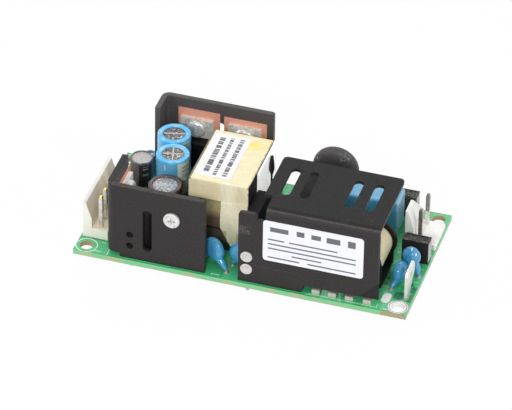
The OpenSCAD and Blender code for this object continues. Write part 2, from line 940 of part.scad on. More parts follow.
module regulator_nut() {
    color("silver")
        on_wall(left_screw, 0)
            translate([0, tab_t, 0])
                rotate([-90, 0, 0])
                    difference() {
                        cylinder(d = nut_af / cos(30), h = nut_h, $fn = 6);
                        translate([0, 0, -1])
                            cylinder(d = screw_d, h = nut_h + 2);
                    }
}

module transformer_core() {
    color([0.2, 0.2, 0.2])
        translate([trafo.x, trafo.y, core_low]) {
            difference() {
                translate([-core_w / 2, -core_d / 2, 0])
                    cube([core_w, core_d, core_h]);
                translate([-core_w / 2 + core_leg_t, -core_d, yoke_t])
                    cube([core_w - 2 * core_leg_t, 2 * core_d, window_h]);
            }
            translate([0, 0, yoke_t - touch])
                linear_extrude(window_h + 2 * touch)
                    round_rect(post_w, post_d, post_w / 2 - touch);
        }
}

module transformer_bobbin() {
    color([0.15, 0.15, 0.15]) {
        translate([trafo.x, trafo.y, core_low + yoke_t])
            difference() {
                union() {
                    linear_extrude(window_h)
                        round_rect(former_w, former_d, former_w / 2 - touch);
                    for (z = [0, window_h - former_t])
                        translate([0, 0, z])
                            linear_extrude(former_t)
                                round_rect(coil_w, core_d, 1.5);
                }
                translate([0, 0, -1])
                    linear_extrude(window_h + 2)
                        round_rect(post_w + 2 * fit, post_d + 2 * fit, post_w / 2);
            }
        translate([trafo.x, trafo.y, top])
            difference() {
                linear_extrude(base_h)
                    round_rect(core_w, core_d, 0.8);
                translate([0, 0, -1])
                    linear_extrude(base_h)
                        round_rect(core_w - 3, core_d - 8, 0.8);
            }
    }
}

module transformer_winding() {
    color([0.75, 0.7, 0.5])
        translate([trafo.x, trafo.y, coil_low])
            difference() {
                linear_extrude(coil_h)
                    round_rect(coil_w, coil_d, coil_r);
                translate([0, 0, -1])
                    linear_extrude(coil_h + 2)
                        round_rect(former_w, former_d, former_w / 2 - touch);
            }
}

// Hanging end of the tape: bulges forward and narrows to a tongue
module tape_tail() {
    tail_top = core_top - yoke_t;
    rise = tail_top - tail_low;
    face = -core_d / 2;
    steps = 12;
    function bulge(i) = tail_bulge * sin(180 * i / steps);
    intersection() {
        rotate([90, 0, 90])
            linear_extrude(far, center = true)
                polygon(concat(
                    [for (i = [0 : steps]) [face - bulge(i), tail_top - rise * i / steps]],
                    [for (i = [steps : -1 : 0]) [face - tape_t - bulge(i), tail_top - rise * i / steps]]));
        rotate([90, 0, 0])
            linear_extrude(far, center = true)
                polygon([[tail_l.x, tail_top + 1], [tail_l.x, tail_shoulder], [tail_l.x + 3, tail_low],
                         [core_w / 2, tail_low], [core_w / 2, tail_top + 1]]);
    }
}

module transformer_tape() {
    color([0.97, 0.93, 0.75])
        translate([trafo.x, trafo.y, 0]) {
            difference() {
                translate([-core_w / 2, -core_d / 2 - tape_t, core_top + tape_t - tape_band])
                    cube([core_w, core_d + 2 * tape_t, tape_band]);
                translate([-core_w, -core_d / 2, 0])
                    cube([2 * core_w, core_d, core_top]);
            }
            tape_tail();
        }
}

module transformer_label() {
    color("white")
        translate([paper_at.x + paper_w / 2, paper_at.y + paper_l / 2, core_top + tape_t])
            linear_extrude(label_t)
                round_rect(paper_w, paper_l, 0.8);
}

module transformer_pins() {
    color("silver")
        for (p = former_pins)
            lead(p, former_pin_d, lead_tip, top);
}

module standing_sleeve(p, d, h) {
    translate([p.x, p.y, top])
        sleeve(d, h);
}

module back_blue_capacitor() {
    color([0.35, 0.72, 0.95])
        standing_sleeve(back_blue, big_can_d, blue_h);
}

module front_blue_capacitor() {
    color([0.35, 0.72, 0.95])
        standing_sleeve(front_blue, big_can_d, blue_h);
}

module brown_capacitor() {
    color([0.3, 0.2, 0.18])
        standing_sleeve(brown, big_can_d, brown_h);
}

module black_capacitor() {
    color([0.2, 0.2, 0.2])
        standing_sleeve(black, black_d, black_h);
}

module small_blue_capacitor() {
    color([0.3, 0.62, 0.85])
        standing_sleeve(small_blue, small_d, small_h);
}

// Lays a can down along +Y with its foot at the front
module lay_bulk() {
    translate([bulk_end.x, bulk_end.y, top + bulk_d / 2])
        rotate([-90, 0, 0])
            children();
}

module bulk_capacitor() {
    color([0.16, 0.16, 0.17])
        lay_bulk()
            sleeve(bulk_d, bulk_l);
}

module capacitor_cans() {
    color("silver") {
        for (c = cans)
            translate([c[0].x, c[0].y, top])
                can(c[1], c[2]);
        lay_bulk()
            can(bulk_d, bulk_l);
    }
}

module film_capacitor() {
    color([0.3, 0.62, 0.8])
        translate([film.x, film.y, top])
            soft_box(film_l, film_w, film_h, 0.9);
}

// White sheet that stands against the transformer's right-hand side
module side_barrier() {
    color("white")
        translate([barrier.x, barrier.y, top])
            rotate([90, 0, 90])
                linear_extrude(barrier_t)
                    translate([0, barrier_h / 2])
                        round_rect(barrier_l, barrier_h, 0.6);
}

// Sleeved lead that runs down the barrier sheet
module flying_lead() {
    waist = 2.2;
    low = flying_z[0];
    high = flying_z[1];
    color([0.14, 0.14, 0.15])
        translate([flying.x, flying.y, 0])
            rotate_extrude()
                polygon([[0, low], [wire_d / 2 + 0.1, low], [flying_d / 2, low + waist],
                         [flying_d / 2, high - 0.5], [flying_d / 2 - 0.4, high], [0, high]]);
}

module output_choke() {
    color([0.14, 0.14, 0.15])
        translate([rod_choke.x, rod_choke.y, top])
            rotate_extrude()
                polygon([[0, 0], [rod_choke_d / 2 - 0.4, 0], [rod_choke_d / 2, 0.4],
                         [rod_choke_d / 2, rod_choke_h - 0.6], [rod_choke_d / 2 - 0.6, rod_choke_h],
                         [0, rod_choke_h]]);
}

module thermistor() {
    color([0.22, 0.21, 0.21])
        translate([ntc.x, ntc.y, 0]) {
            translate([0, 0, ntc_z])
                lens(ntc_d, ntc_t);
            for (s = [-1, 1])
                translate([s * 3.75, 0, top + 3.2])
                    cylinder(d1 = wire_d + 0.3, d2 = 1.8, h = ntc_z - top - 6);
        }
}

module bridge_rectifier() {
    color([0.14, 0.14, 0.14])
        translate([bridge.x, bridge.y, top + bridge_gap])
            rotate([90, 0, 90])
                linear_extrude(bridge_t, center = true)
                    difference() {
                        translate([0, bridge_h / 2])
                            round_rect(bridge_w, bridge_h, 0.6);
                        translate([bridge_w / 2, bridge_h])
                            rotate(45)
                                square(3, center = true);
                    }
}

// Puts its children on the choke's axis, Z along the axis
module on_choke() {
    translate([choke.x, choke.y, choke_z])
        rotate([90, 0, 0])
            children();
}

module choke_core() {
    color([0.25, 0.25, 0.25])
        on_choke()
            cylinder(d = rod_d, h = choke_l, center = true);
}

module choke_bobbin() {
    color([0.14, 0.14, 0.14])
        difference() {
            union() {
                for (s = [-1, 1])
                    translate([0, s * (choke_l - flange_t) / 2, 0]) {
                        on_choke()
                            cylinder(d = s < 0 ? coil_d_choke : choke_d, h = flange_t, center = true);
                        translate([choke.x - choke_d / 2 + 1, choke.y - flange_t / 2, top])
                            cube([choke_d - 2, flange_t, choke_z - top]);
                    }
                on_choke()
                    cylinder(d = rod_d + 2, h = choke_l, center = true);
                translate([choke.x - choke_d / 2 + 1, choke.y - choke_l / 2, top])
                    cube([choke_d - 2, choke_l, 0.6]);
            }
            on_choke()
                cylinder(d = rod_d, h = 2 * choke_l, center = true);
        }
}

module choke_coil() {
    color([0.92, 0.88, 0.7])
        on_choke()
            difference() {
                cylinder(d = coil_d_choke, h = choke_l - 2 * flange_t, center = true);
                cylinder(d = rod_d + 2, h = 2 * choke_l, center = true);
            }
}

module fuse_box() {
    soft_box(fuse_l, fuse_w, fuse_h, 0.4);
}

module front_fuse() {
    color([0.16, 0.16, 0.16])
        translate([front_fuse_at.x, front_fuse_at.y, top])
            fuse_box();
}

module back_fuse() {
    color([0.16, 0.16, 0.16])
        translate([back_fuse_at.x, back_fuse_at.y, top])
            fuse_box();
}

// Connector base and locking wall, seen from its end: wall at the origin, base along +X
module header_outline(depth, wall, base_h) {
    ramp = 1.5;
    lean = 4.5;
    polygon([[0, 0], [depth, 0], [depth, base_h], [wall + ramp, base_h],
             [wall + ramp, header_wall_h - lean - 1], [wall, header_wall_h - 1],
             [wall - 0.3, header_wall_h], [0, header_wall_h]]);
}

// Extrudes the outline along +Y
module header_block(depth, wall, l, base_h) {
    rotate([90, 0, 0])
        mirror([0, 0, 1])
            linear_extrude(l)
                header_outline(depth, wall, base_h);
}

module pin_holes(ps) {
    for (p = ps)
        translate([p.x, p.y, top + header_base_h / 2])
            cube([pin_w, pin_w, 4 * header_base_h], center = true);
}

module output_header() {
    color([0.9, 0.87, 0.8])
        difference() {
            translate([output_x, output_y0 - header_margin, top])
                header_block(output_depth, output_wall, (output_count - 1) * pin_pitch + 2 * header_margin,
                             header_base_h);
            pin_holes(output_pin_at);
        }
}

module square_pin(p, h) {
    taper = 0.8;
    translate([p.x - pin_w / 2, p.y - pin_w / 2, top])
        cube([pin_w, pin_w, h - taper]);
    translate([p.x, p.y, top + h - taper])
        rotate(45)
            cylinder(d1 = pin_w * sqrt(2), d2 = pin_w * 0.8, h = taper, $fn = 4);
    lead(p, pin_d, pin_tip, top);
}

module output_pins() {
    color("gold")
        for (p = output_pin_at)
            square_pin(p, header_pin_h);
}

module input_header() {
    block_low = input_y - pin_pitch - input_margin[0];
    block_high = input_y + pin_pitch + input_margin[1];
    slope = [5.5, 7];
    color("white")
        difference() {
            translate([input_x, block_low, top])
                header_block(input_depth, input_wall, block_high - block_low, input_base_h);
            pin_holes(input_pin_at);
            // The wall falls away towards the back
            translate([input_x - 1, block_high, top + header_wall_h])
                rotate([90, 0, 90])
                    linear_extrude(input_depth)
                        polygon([[-slope.x, 1], [-slope.x, 0], [0, -slope.y], [1, -slope.y], [1, 1]]);
        }
}

module input_pins() {
    color("silver")
        for (p = input_pin_at)
            square_pin(p, input_pin_h);
}

module left_disc_capacitors() {
    color([0.27, 0.6, 0.8])
        for (d = left_discs)
            disc_capacitor(d);
}

module line_disc_capacitors() {
    color([0.27, 0.6, 0.8])
        for (d = line_discs)
            disc_capacitor(d);
}

module earth_blade() {
    tip_w = blade_w - 1.8;
    tip_h = 1.2;
    eye_d = 1.7;
    eye_drop = 2.6;
    color("gainsboro") {
        translate([blade.x, blade.y, top])
            rotate([90, 0, 90])
                linear_extrude(blade_t, center = true)
                    difference() {
                        polygon([[-blade_w / 2, 0], [blade_w / 2, 0], [blade_w / 2, blade_h - tip_h],
                                 [tip_w / 2, blade_h], [-tip_w / 2, blade_h],
                                 [-blade_w / 2, blade_h - tip_h]]);
                        translate([0, blade_h - eye_drop])
                            circle(d = eye_d);
                    }
        for (p = blade_tails)
            lead(p, pin_d, pin_tip, top);
    }
}

module chip_capacitors() {
    color([0.7, 0.62, 0.5])
        for (x = chip_x)
            translate([x - chip_w / 2, chip_y - chip_l / 2 + chip_end, top])
                cube([chip_w, chip_l - 2 * chip_end, chip_h]);
}

module chip_ends() {
    color("lightgray")
        for (x = chip_x, s = [-1, 1])
            translate([x, chip_y + s * (chip_l - chip_end) / 2, top])
                linear_extrude(chip_h)
                    square([chip_w, chip_end], center = true);
}

// Lead of the optocoupler: out of the body's side, then down
module opto_lead(p, side) {
    mid = top + opto_gap + opto_h / 2;
    out = (opto_span - opto_w) / 2;
    translate([p.x - (side > 0 ? out : 0), p.y - strip_w / 2, mid - strip_t / 2])
        cube([out, strip_w, strip_t]);
    translate([p.x - strip_t / 2, p.y - strip_w / 2, top])
        cube([strip_t, strip_w, mid + strip_t / 2 - top]);
    lead(p, strip_t, lead_tip, top);
}

module optocoupler() {
    color("ivory")
        translate([opto.x - opto_w / 2, opto.y - opto_l / 2, top + opto_gap])
            cube([opto_w, opto_l, opto_h]);
    color("silver")
        for (p = opto_leads)
            opto_lead(p, p.x > opto.x ? 1 : -1);
}

module control_chip() {
    foot = [0.4, 1.1, 0.2];
    pitch = 1.27;
    color([0.15, 0.15, 0.15])
        translate([control.x, control.y, -control_size.z / 2 - foot.z])
            cube(control_size, center = true);
    color("silver")
        for (i = [0 : 3], s = [-1, 1])
            translate([control.x + (i - 1.5) * pitch, control.y + s * (control_size.y / 2 + foot.y / 2 - 0.3),
                       -foot.z / 2])
                cube([foot.x, foot.y, foot.z], center = true);
}

module component_leads() {
    color("lightgray") {
        for (p = concat(can_leads, film_leads, front_fuse_leads, back_fuse_leads, choke_leads, rod_choke_leads))
            lead(p, wire_d, lead_tip, top);
        for (p = flying_leads)
            lead(p, wire_d, lead_tip, flying_z[0]);
        for (p = bridge_leads)
            lead(p, wire_d, lead_tip, top + bridge_gap);
        for (p = ntc_leads)
            lead(p, wire_d, lead_tip, top + 3.2);
        for (p = disc_leads)
            lead(p, wire_d, lead_tip, top + disc_leg_gap);
        for (p = bulk_leads) {
            lead(p, wire_d, lead_tip, top + bulk_d / 2);
            translate([p.x, p.y, top + bulk_d / 2]) {
                sphere(d = wire_d);
                rotate([-90, 0, 0])
                    cylinder(d = wire_d, h = bulk_end.y - p.y);
            }
        }
    }
}

board();
solder_joints();
left_heatsink();
back_heatsink();
shroud();
shroud_insulator();
shroud_label();
shroud_rivets();
heatsink_pins();
back_pad_left();
back_pad_right();
left_wall_pad();
front_wall_pad();
shroud_pad();
device_body_at(devices[0]);  // rectifier_left_body
device_tab_at(devices[0]);  // rectifier_left_tab
device_body_at(devices[1]);  // rectifier_right_body
device_tab_at(devices[1]);  // rectifier_right_tab
device_body_at(devices[2]);  // wall_diode_body
device_tab_at(devices[2]);  // wall_diode_tab
device_body_at(devices[3]);  // regulator_body
device_tab_at(devices[3]);  // regulator_tab
device_body_at(devices[4]);  // switch_body
device_tab_at(devices[4]);  // switch_tab
device_screws();
regulator_nut();
transformer_core();
transformer_bobbin();
transformer_winding();
transformer_tape();
transformer_label();
transformer_pins();
back_blue_capacitor();
front_blue_capacitor();
brown_capacitor();
black_capacitor();
small_blue_capacitor();
bulk_capacitor();
capacitor_cans();
film_capacitor();
side_barrier();
flying_lead();
output_choke();
thermistor();
bridge_rectifier();
choke_core();
choke_bobbin();
choke_coil();
front_fuse();
back_fuse();
output_header();
output_pins();
input_header();
input_pins();
left_disc_capacitors();
line_disc_capacitors();
earth_blade();
chip_capacitors();
chip_ends();
optocoupler();
control_chip();
component_leads();
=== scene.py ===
import bpy
import math
from mathutils import Matrix, Vector


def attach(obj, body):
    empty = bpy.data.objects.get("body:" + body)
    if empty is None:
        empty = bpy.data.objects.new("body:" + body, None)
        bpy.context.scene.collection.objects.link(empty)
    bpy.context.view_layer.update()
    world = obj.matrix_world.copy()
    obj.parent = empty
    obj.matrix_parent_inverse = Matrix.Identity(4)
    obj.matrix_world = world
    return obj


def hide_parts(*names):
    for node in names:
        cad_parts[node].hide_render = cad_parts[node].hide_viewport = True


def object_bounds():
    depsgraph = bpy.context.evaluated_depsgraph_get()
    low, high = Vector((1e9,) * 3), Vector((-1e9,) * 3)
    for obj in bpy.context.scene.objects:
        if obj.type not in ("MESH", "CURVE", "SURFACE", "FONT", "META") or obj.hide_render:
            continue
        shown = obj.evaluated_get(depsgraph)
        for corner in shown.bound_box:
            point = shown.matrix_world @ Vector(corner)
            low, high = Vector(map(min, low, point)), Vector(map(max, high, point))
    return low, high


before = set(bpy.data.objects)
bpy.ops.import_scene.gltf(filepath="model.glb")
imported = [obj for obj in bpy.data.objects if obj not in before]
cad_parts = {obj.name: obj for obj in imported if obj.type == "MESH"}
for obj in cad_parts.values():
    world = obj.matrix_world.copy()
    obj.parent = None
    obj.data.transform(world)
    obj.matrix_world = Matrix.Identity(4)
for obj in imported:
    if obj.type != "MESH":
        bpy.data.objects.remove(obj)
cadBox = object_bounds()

mm = 0.001
boardTop = 1.6
upright = (0, 0, 0)
facingFront = (90, 0, 0)
looks = {}


# Working habits: what is selected, which mode, how a modifier is applied

def setMode(mode):
    bpy.ops.object.mode_set(mode=mode)


def clearSelection():
    if bpy.context.mode != "OBJECT":
        setMode("OBJECT")
    bpy.ops.object.select_all(action="DESELECT")


def useOnly(obj):
    clearSelection()
    obj.select_set(True)
    bpy.context.view_layer.objects.active = obj


def editAll(obj):
    useOnly(obj)
    setMode("EDIT")
    bpy.ops.mesh.select_all(action="SELECT")


def editFaces(obj, wanted):
    useOnly(obj)
    setMode("EDIT")
    bpy.ops.mesh.select_mode(type="FACE")
    bpy.ops.mesh.select_all(action="DESELECT")
    setMode("OBJECT")
    for face in obj.data.polygons:
        face.select = wanted(face.center / mm, face.normal)
    setMode("EDIT")


def applyModifier(obj, kind, **values):
    useOnly(obj)
    modifier = obj.modifiers.new(kind.lower(), kind)
    for key, value in values.items():
        setattr(modifier, key, value)
    bpy.ops.object.modifier_apply(modifier=modifier.name)


def roundEdges(obj, width, segments=2, angle=32):
    applyModifier(obj, "BEVEL", width=width * mm, segments=segments, limit_method="ANGLE",
                  angle_limit=math.radians(angle), use_clamp_overlap=True)


def smooth(obj, angle=35, flatFaces=False):
    useOnly(obj)
    bpy.ops.object.shade_smooth_by_angle(angle=math.radians(angle))
    if flatFaces:
        applyModifier(obj, "WEIGHTED_NORMAL", keep_sharp=True)


def placeInMesh(obj):
    useOnly(obj)
    bpy.ops.object.transform_apply(location=True, rotation=True, scale=True)


def setDown(obj, place, tilt):
    obj.rotation_euler = [math.radians(a) for a in tilt]
    obj.location = [c * mm for c in place]
    placeInMesh(obj)


def joinPieces(pieces, name):
    clearSelection()
    for piece in pieces:
        piece.select_set(True)
    bpy.context.view_layer.objects.active = pieces[0]
    if len(pieces) > 1:
        bpy.ops.object.join()
    pieces[0].name = name
    return pieces[0]


def newObject(name, data):
    obj = bpy.data.objects.new(name, data)
    bpy.context.scene.collection.objects.link(obj)
    return obj


def copyPiece(piece, name):
    return newObject(name, piece.data.copy())


# What repeats is modelled once and copied to its places
def copiesAt(first, places, tilt=upright):
    copies = [copyPiece(first, first.name) for place in places]
    for piece, place in zip(copies, places):
        setDown(piece, place, tilt)
    bpy.data.objects.remove(first)
    return copies


def combine(obj, other, operation):
    applyModifier(obj, "BOOLEAN", object=other, operation=operation, solver="EXACT")
    bpy.data.objects.remove(other)


def copyOfNode(node, name, edge, segments=2):
    obj = copyPiece(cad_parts[node], name)
    useOnly(obj)
    bpy.ops.mesh.customdata_custom_splitnormals_clear()
    editAll(obj)
    bpy.ops.mesh.remove_doubles(threshold=1e-6)
    bpy.ops.mesh.dissolve_limited(angle_limit=math.radians(0.5))
    bpy.ops.mesh.quads_convert_to_tris(quad_method="BEAUTY", ngon_method="BEAUTY")
    setMode("OBJECT")
    if edge:
        roundEdges(obj, edge, segments)
    smooth(obj, flatFaces=True)
    return obj


# A finished piece: its look, its body and the node it stands for
def settle(obj, finish, node=None):
    obj.data.materials.clear()
    obj.data.materials.append(looks[finish])
    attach(obj, "root")
    if node:
        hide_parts(node)


# A piece that keeps its node's form, with broken edges
def dress(node, name, finish, edge, segments=2):
    settle(copyOfNode(node, name, edge, segments), finish, node)


# Primitives at their size and place, in millimetres

def addBox(name, low, high):
    clearSelection()
    middle = [(a + b) / 2 * mm for a, b in zip(low, high)]
    bpy.ops.mesh.primitive_cube_add(size=1, location=middle)
    obj = bpy.context.object
    obj.name = name
    obj.scale = [(b - a) * mm for a, b in zip(low, high)]
    placeInMesh(obj)
    return obj


def addDisc(name, vertices, radius, place, turned=upright):
    clearSelection()
    bpy.ops.mesh.primitive_circle_add(vertices=vertices, radius=radius * mm, fill_type="NGON",
                                      location=place, rotation=turned)
    bpy.context.object.name = name
    return bpy.context.object


def drawOut(step, scale):
    bpy.ops.mesh.extrude_region_move(TRANSFORM_OT_translate={"value": step})
    bpy.ops.transform.resize(value=scale)


def closeForm():
    bpy.ops.mesh.select_all(action="SELECT")
    bpy.ops.mesh.normals_make_consistent(inside=False)
    setMode("OBJECT")


# A turned form: a ring is drawn out from step to step, each step a radius and a height
def turn(name, steps, place=(0, 0, 0), tilt=upright, vertices=64):
    least = 0.001
    radius, height = steps[0]
    obj = addDisc(name, vertices, max(radius, least), (0, 0, height * mm))
    setMode("EDIT")
    for nextRadius, nextHeight in steps[1:]:
        scale = max(nextRadius, least) / max(radius, least)
        drawOut((0, 0, (nextHeight - height) * mm), (scale, scale, 1))
        radius, height = nextRadius, nextHeight
    closeForm()
    placeInMesh(obj)
    setDown(obj, place, tilt)
    return obj


# Round corner of a turned form: points on an arc from one angle to another
def arc(radius, height, size, start, stop, count=5):
    angles = [math.radians(start + (stop - start) * i / count) for i in range(count + 1)]
    return [(radius + size * math.cos(a), height + size * math.sin(a)) for a in angles]


# A soft bar drawn from point to point, each with its own radius
def drawBar(name, points, vertices=14):
    (first, radius), (second, _) = points[:2]
    aim = (Vector(second) - Vector(first)).to_track_quat("Z", "Y")
    obj = addDisc(name, vertices, radius, Vector(first) * mm, aim.to_euler())
    placeInMesh(obj)
    editAll(obj)
    for (start, radius), (stop, nextRadius) in zip(points, points[1:]):
        drawOut((Vector(stop) - Vector(start)) * mm, (nextRadius / radius,) * 3)
    closeForm()
    return obj


# Dipped or glued forms: pieces grown together and softened
def melt(obj, grain, rounds):
    applyModifier(obj, "REMESH", mode="VOXEL", voxel_size=grain * mm)
    applyModifier(obj, "SMOOTH", factor=0.5, iterations=rounds)
    smooth(obj, 180)


# Materials

def paint(*tint):
    def line(c):
        c = c / 255
        return c / 12.92 if c <= 0.04045 else ((c + 0.055) / 1.055) ** 2.4
    return (*[line(c) for c in tint], 1)


def put(tree, kind, inputs=None, **props):
    node = tree.nodes.new(kind)
    for key, value in props.items():
        setattr(node, key, value)
    for key, value in (inputs or {}).items():
        if isinstance(value, bpy.types.NodeSocket):
            tree.links.new(value, node.inputs[key])
        else:
            node.inputs[key].default_value = value
    return node


def calc(tree, operation, a, b=0.0, clamp=False):
    return put(tree, "ShaderNodeMath", {0: a, 1: b}, operation=operation, use_clamp=clamp).outputs[0]


def reckon(tree, operation, *vectors):
    return put(tree, "ShaderNodeVectorMath", dict(enumerate(vectors)), operation=operation).outputs


def split(tree, vector):
    return put(tree, "ShaderNodeSeparateXYZ", {0: vector}).outputs


def mixColour(tree, factor, a, b):
    return put(tree, "ShaderNodeMix", {0: factor, 6: a, 7: b}, data_type="RGBA").outputs[2]


def spread(tree, value, low, high, toLow=0.0, toHigh=1.0):
    names = {"Value": value, "From Min": low, "From Max": high, "To Min": toLow, "To Max": toHigh}
    return put(tree, "ShaderNodeMapRange", names).outputs[0]


def noise(tree, coords, scale, detail=2.0, roughness=0.5):
    names = {"Vector": coords, "Scale": scale, "Detail": detail, "Roughness": roughness}
    return put(tree, "ShaderNodeTexNoise", names).outputs["Fac"]


def newGroup(name, vectors, floats, results):
    tree = bpy.data.node_groups.new(name, "ShaderNodeTree")
    for labels, way, kind in ((vectors, "INPUT", "NodeSocketVector"), (floats, "INPUT", "NodeSocketFloat"),
                              (results, "OUTPUT", "NodeSocketFloat")):
        for label in labels.split():
            tree.interface.new_socket(label, in_out=way, socket_type=kind)
    return tree, tree.nodes.new("NodeGroupInput").outputs, tree.nodes.new("NodeGroupOutput").inputs


# Fine grain: a broad mottle as a tone and a fine one as a height
def makeGrainGroup():
    tree, (vector, scale, *_), out = newGroup("fineGrain", "Vector", "Scale", "Tone Height")
    tree.links.new(spread(tree, noise(tree, vector, scale, 3.0, 0.6), 0.3, 0.7), out[0])
    tree.links.new(noise(tree, vector, calc(tree, "MULTIPLY", scale, 5.0)), out[1])


# Scuffs: patches of small pale specks
def makeScuffGroup():
    tree, (vector, amount, *_), out = newGroup("scuffs", "Vector", "Amount", "Mask")
    patch = spread(tree, noise(tree, vector, 0.35), 0.42, 0.72)
    speck = spread(tree, noise(tree, vector, 3.4, 4.0, 0.7), 0.55, 0.68)
    both = calc(tree, "MULTIPLY", patch, speck)
    tree.links.new(calc(tree, "MULTIPLY", both, amount, clamp=True), out[0])


# Mask of a box in millimetres, with a soft border
def makeBoxGroup():
    tree, (vector, centre, half, border, *_), out = newGroup("boxMask", "Vector Centre Half", "Border",
                                                             "Mask")
    away = reckon(tree, "ABSOLUTE", reckon(tree, "SUBTRACT", vector, centre)[0])[0]
    x, y, z = split(tree, reckon(tree, "SUBTRACT", half, away)[0])
    least = calc(tree, "MINIMUM", calc(tree, "MINIMUM", x, y), z)
    tree.links.new(calc(tree, "DIVIDE", least, border, clamp=True), out[0])


# Mask of an upright round line: the distance from an axis lies between two radii
def makeRingGroup():
    tree, (vector, centre, inner, outer, *_), out = newGroup("ringMask", "Vector Centre", "Inner Outer",
                                                             "Mask")
    level = reckon(tree, "MULTIPLY", reckon(tree, "SUBTRACT", vector, centre)[0], (1, 1, 0))[0]
    reach = reckon(tree, "LENGTH", level)["Value"]
    inside = calc(tree, "GREATER_THAN", reach, inner)
    tree.links.new(calc(tree, "MULTIPLY", inside, calc(tree, "LESS_THAN", reach, outer)), out[0])


# Mask of a stripe down a standing can, by the angle round its axis in degrees
def makeStripeGroup():
    tree, (vector, centre, angle, width, *_), out = newGroup("canStripe", "Vector Centre", "Angle Width",
                                                             "Mask")
    x, y, _ = split(tree, reckon(tree, "SUBTRACT", vector, centre)[0])
    bearing = calc(tree, "MULTIPLY", calc(tree, "ARCTAN2", y, x), 180 / math.pi)
    apart = calc(tree, "ABSOLUTE", calc(tree, "SUBTRACT", bearing, angle))
    tree.links.new(calc(tree, "LESS_THAN", apart, width), out[0])


for makeGroup in (makeGrainGroup, makeScuffGroup, makeBoxGroup, makeRingGroup, makeStripeGroup):
    makeGroup()


# A finish starts from two tones of one colour, a roughness and a grain; more can be laid over it.
# What is laid is a tint through the product of some masks and shares
class Finish:
    roughSpread = 0.08

    def __init__(self, name, light, dark, rough=0.5, grain=1.5, bump=0.1, metal=0.0, coat=0.0, shine=0.5,
                 glow=0.0):
        material = looks[name] = bpy.data.materials.new(name)
        material.use_nodes = True
        self.tree = material.node_tree
        self.shader = self.tree.nodes["Principled BSDF"]
        place = put(self.tree, "ShaderNodeTexCoord").outputs["Object"]
        self.coords = self.mapped(place, Scale=(1000, 1000, 1000))
        self.axes = split(self.tree, self.coords)
        self.tone, self.height = self.group("fineGrain", Scale=grain)
        self.colour = mixColour(self.tree, self.tone, paint(*light), paint(*dark))
        low, high = max(rough - self.roughSpread, 0.03), rough + self.roughSpread
        self.rough = spread(self.tree, self.tone, 0, 1, low, high)
        self.bump = bump
        for label, value in (("Metallic", metal), ("Coat Weight", coat), ("Specular IOR Level", shine),
                             ("Emission Strength", glow)):
            self.shader.inputs[label].default_value = value

    def mapped(self, vector, **inputs):
        return put(self.tree, "ShaderNodeMapping", {"Vector": vector, **inputs}).outputs[0]

    def group(self, name, **inputs):
        tree = bpy.data.node_groups[name]
        return put(self.tree, "ShaderNodeGroup", {"Vector": self.coords, **inputs}, node_tree=tree).outputs

    def box(self, low, high, border=0.02):
        centre = [(a + b) / 2 for a, b in zip(low, high)]
        half = [(b - a) / 2 for a, b in zip(low, high)]
        return self.group("boxMask", Centre=centre, Half=half, Border=border)[0]

    def ring(self, place, inner, outer):
        return self.group("ringMask", Centre=(*place, 0), Inner=inner, Outer=outer)[0]

    def along(self, axis, low, high):
        return spread(self.tree, self.axes[axis], low, high)

    def noise(self, scale, detail, roughness=0.5, stretch=None):
        coords = self.mapped(self.coords, Scale=stretch) if stretch else self.coords
        return noise(self.tree, coords, scale, detail, roughness)

    def flecks(self, scale, detail, low, high, roughness=0.5, stretch=None, least=0.0):
        return spread(self.tree, self.noise(scale, detail, roughness, stretch), low, high, least)

    def dashes(self, beat, stretch, share):
        return calc(self.tree, "GREATER_THAN", self.noise(beat, 0.0, stretch=stretch), share)

    def merge(self, operation, masks):
        total, *others = masks
        for mask in others:
            total = calc(self.tree, operation, total, mask)
        return total

    def times(self, *masks):
        return self.merge("MULTIPLY", masks)

    def lay(self, tint, *masks, rough=None, metal=None):
        mask = self.times(*masks)
        self.colour = mixColour(self.tree, mask, self.colour, paint(*tint))
        if rough is not None:
            self.rough = put(self.tree, "ShaderNodeMix", {0: mask, 2: self.rough, 3: rough}).outputs[0]
        if metal is not None:
            socket = self.shader.inputs["Metallic"]
            blend = put(self.tree, "ShaderNodeMix", {0: mask, 2: socket.default_value, 3: metal})
            self.tree.links.new(blend.outputs[0], socket)

    # A patch fills a box, by a share or through flecks
    def patch(self, tint, low, high, border, share=1.0, rough=None):
        amount = self.flecks(*share) if isinstance(share, tuple) else share
        self.lay(tint, self.box(low, high, border), amount, rough=rough)

    def raiseBy(self, height, share):
        self.height = calc(self.tree, "ADD", self.height, self.times(height, share))

    def done(self):
        bump = put(self.tree, "ShaderNodeBump", {"Strength": self.bump, "Distance": 0.0001,
                                                 "Height": self.height})
        for label, value in (("Base Color", self.colour), ("Roughness", self.rough),
                             ("Normal", bump.outputs[0])):
            self.tree.links.new(value, self.shader.inputs[label])


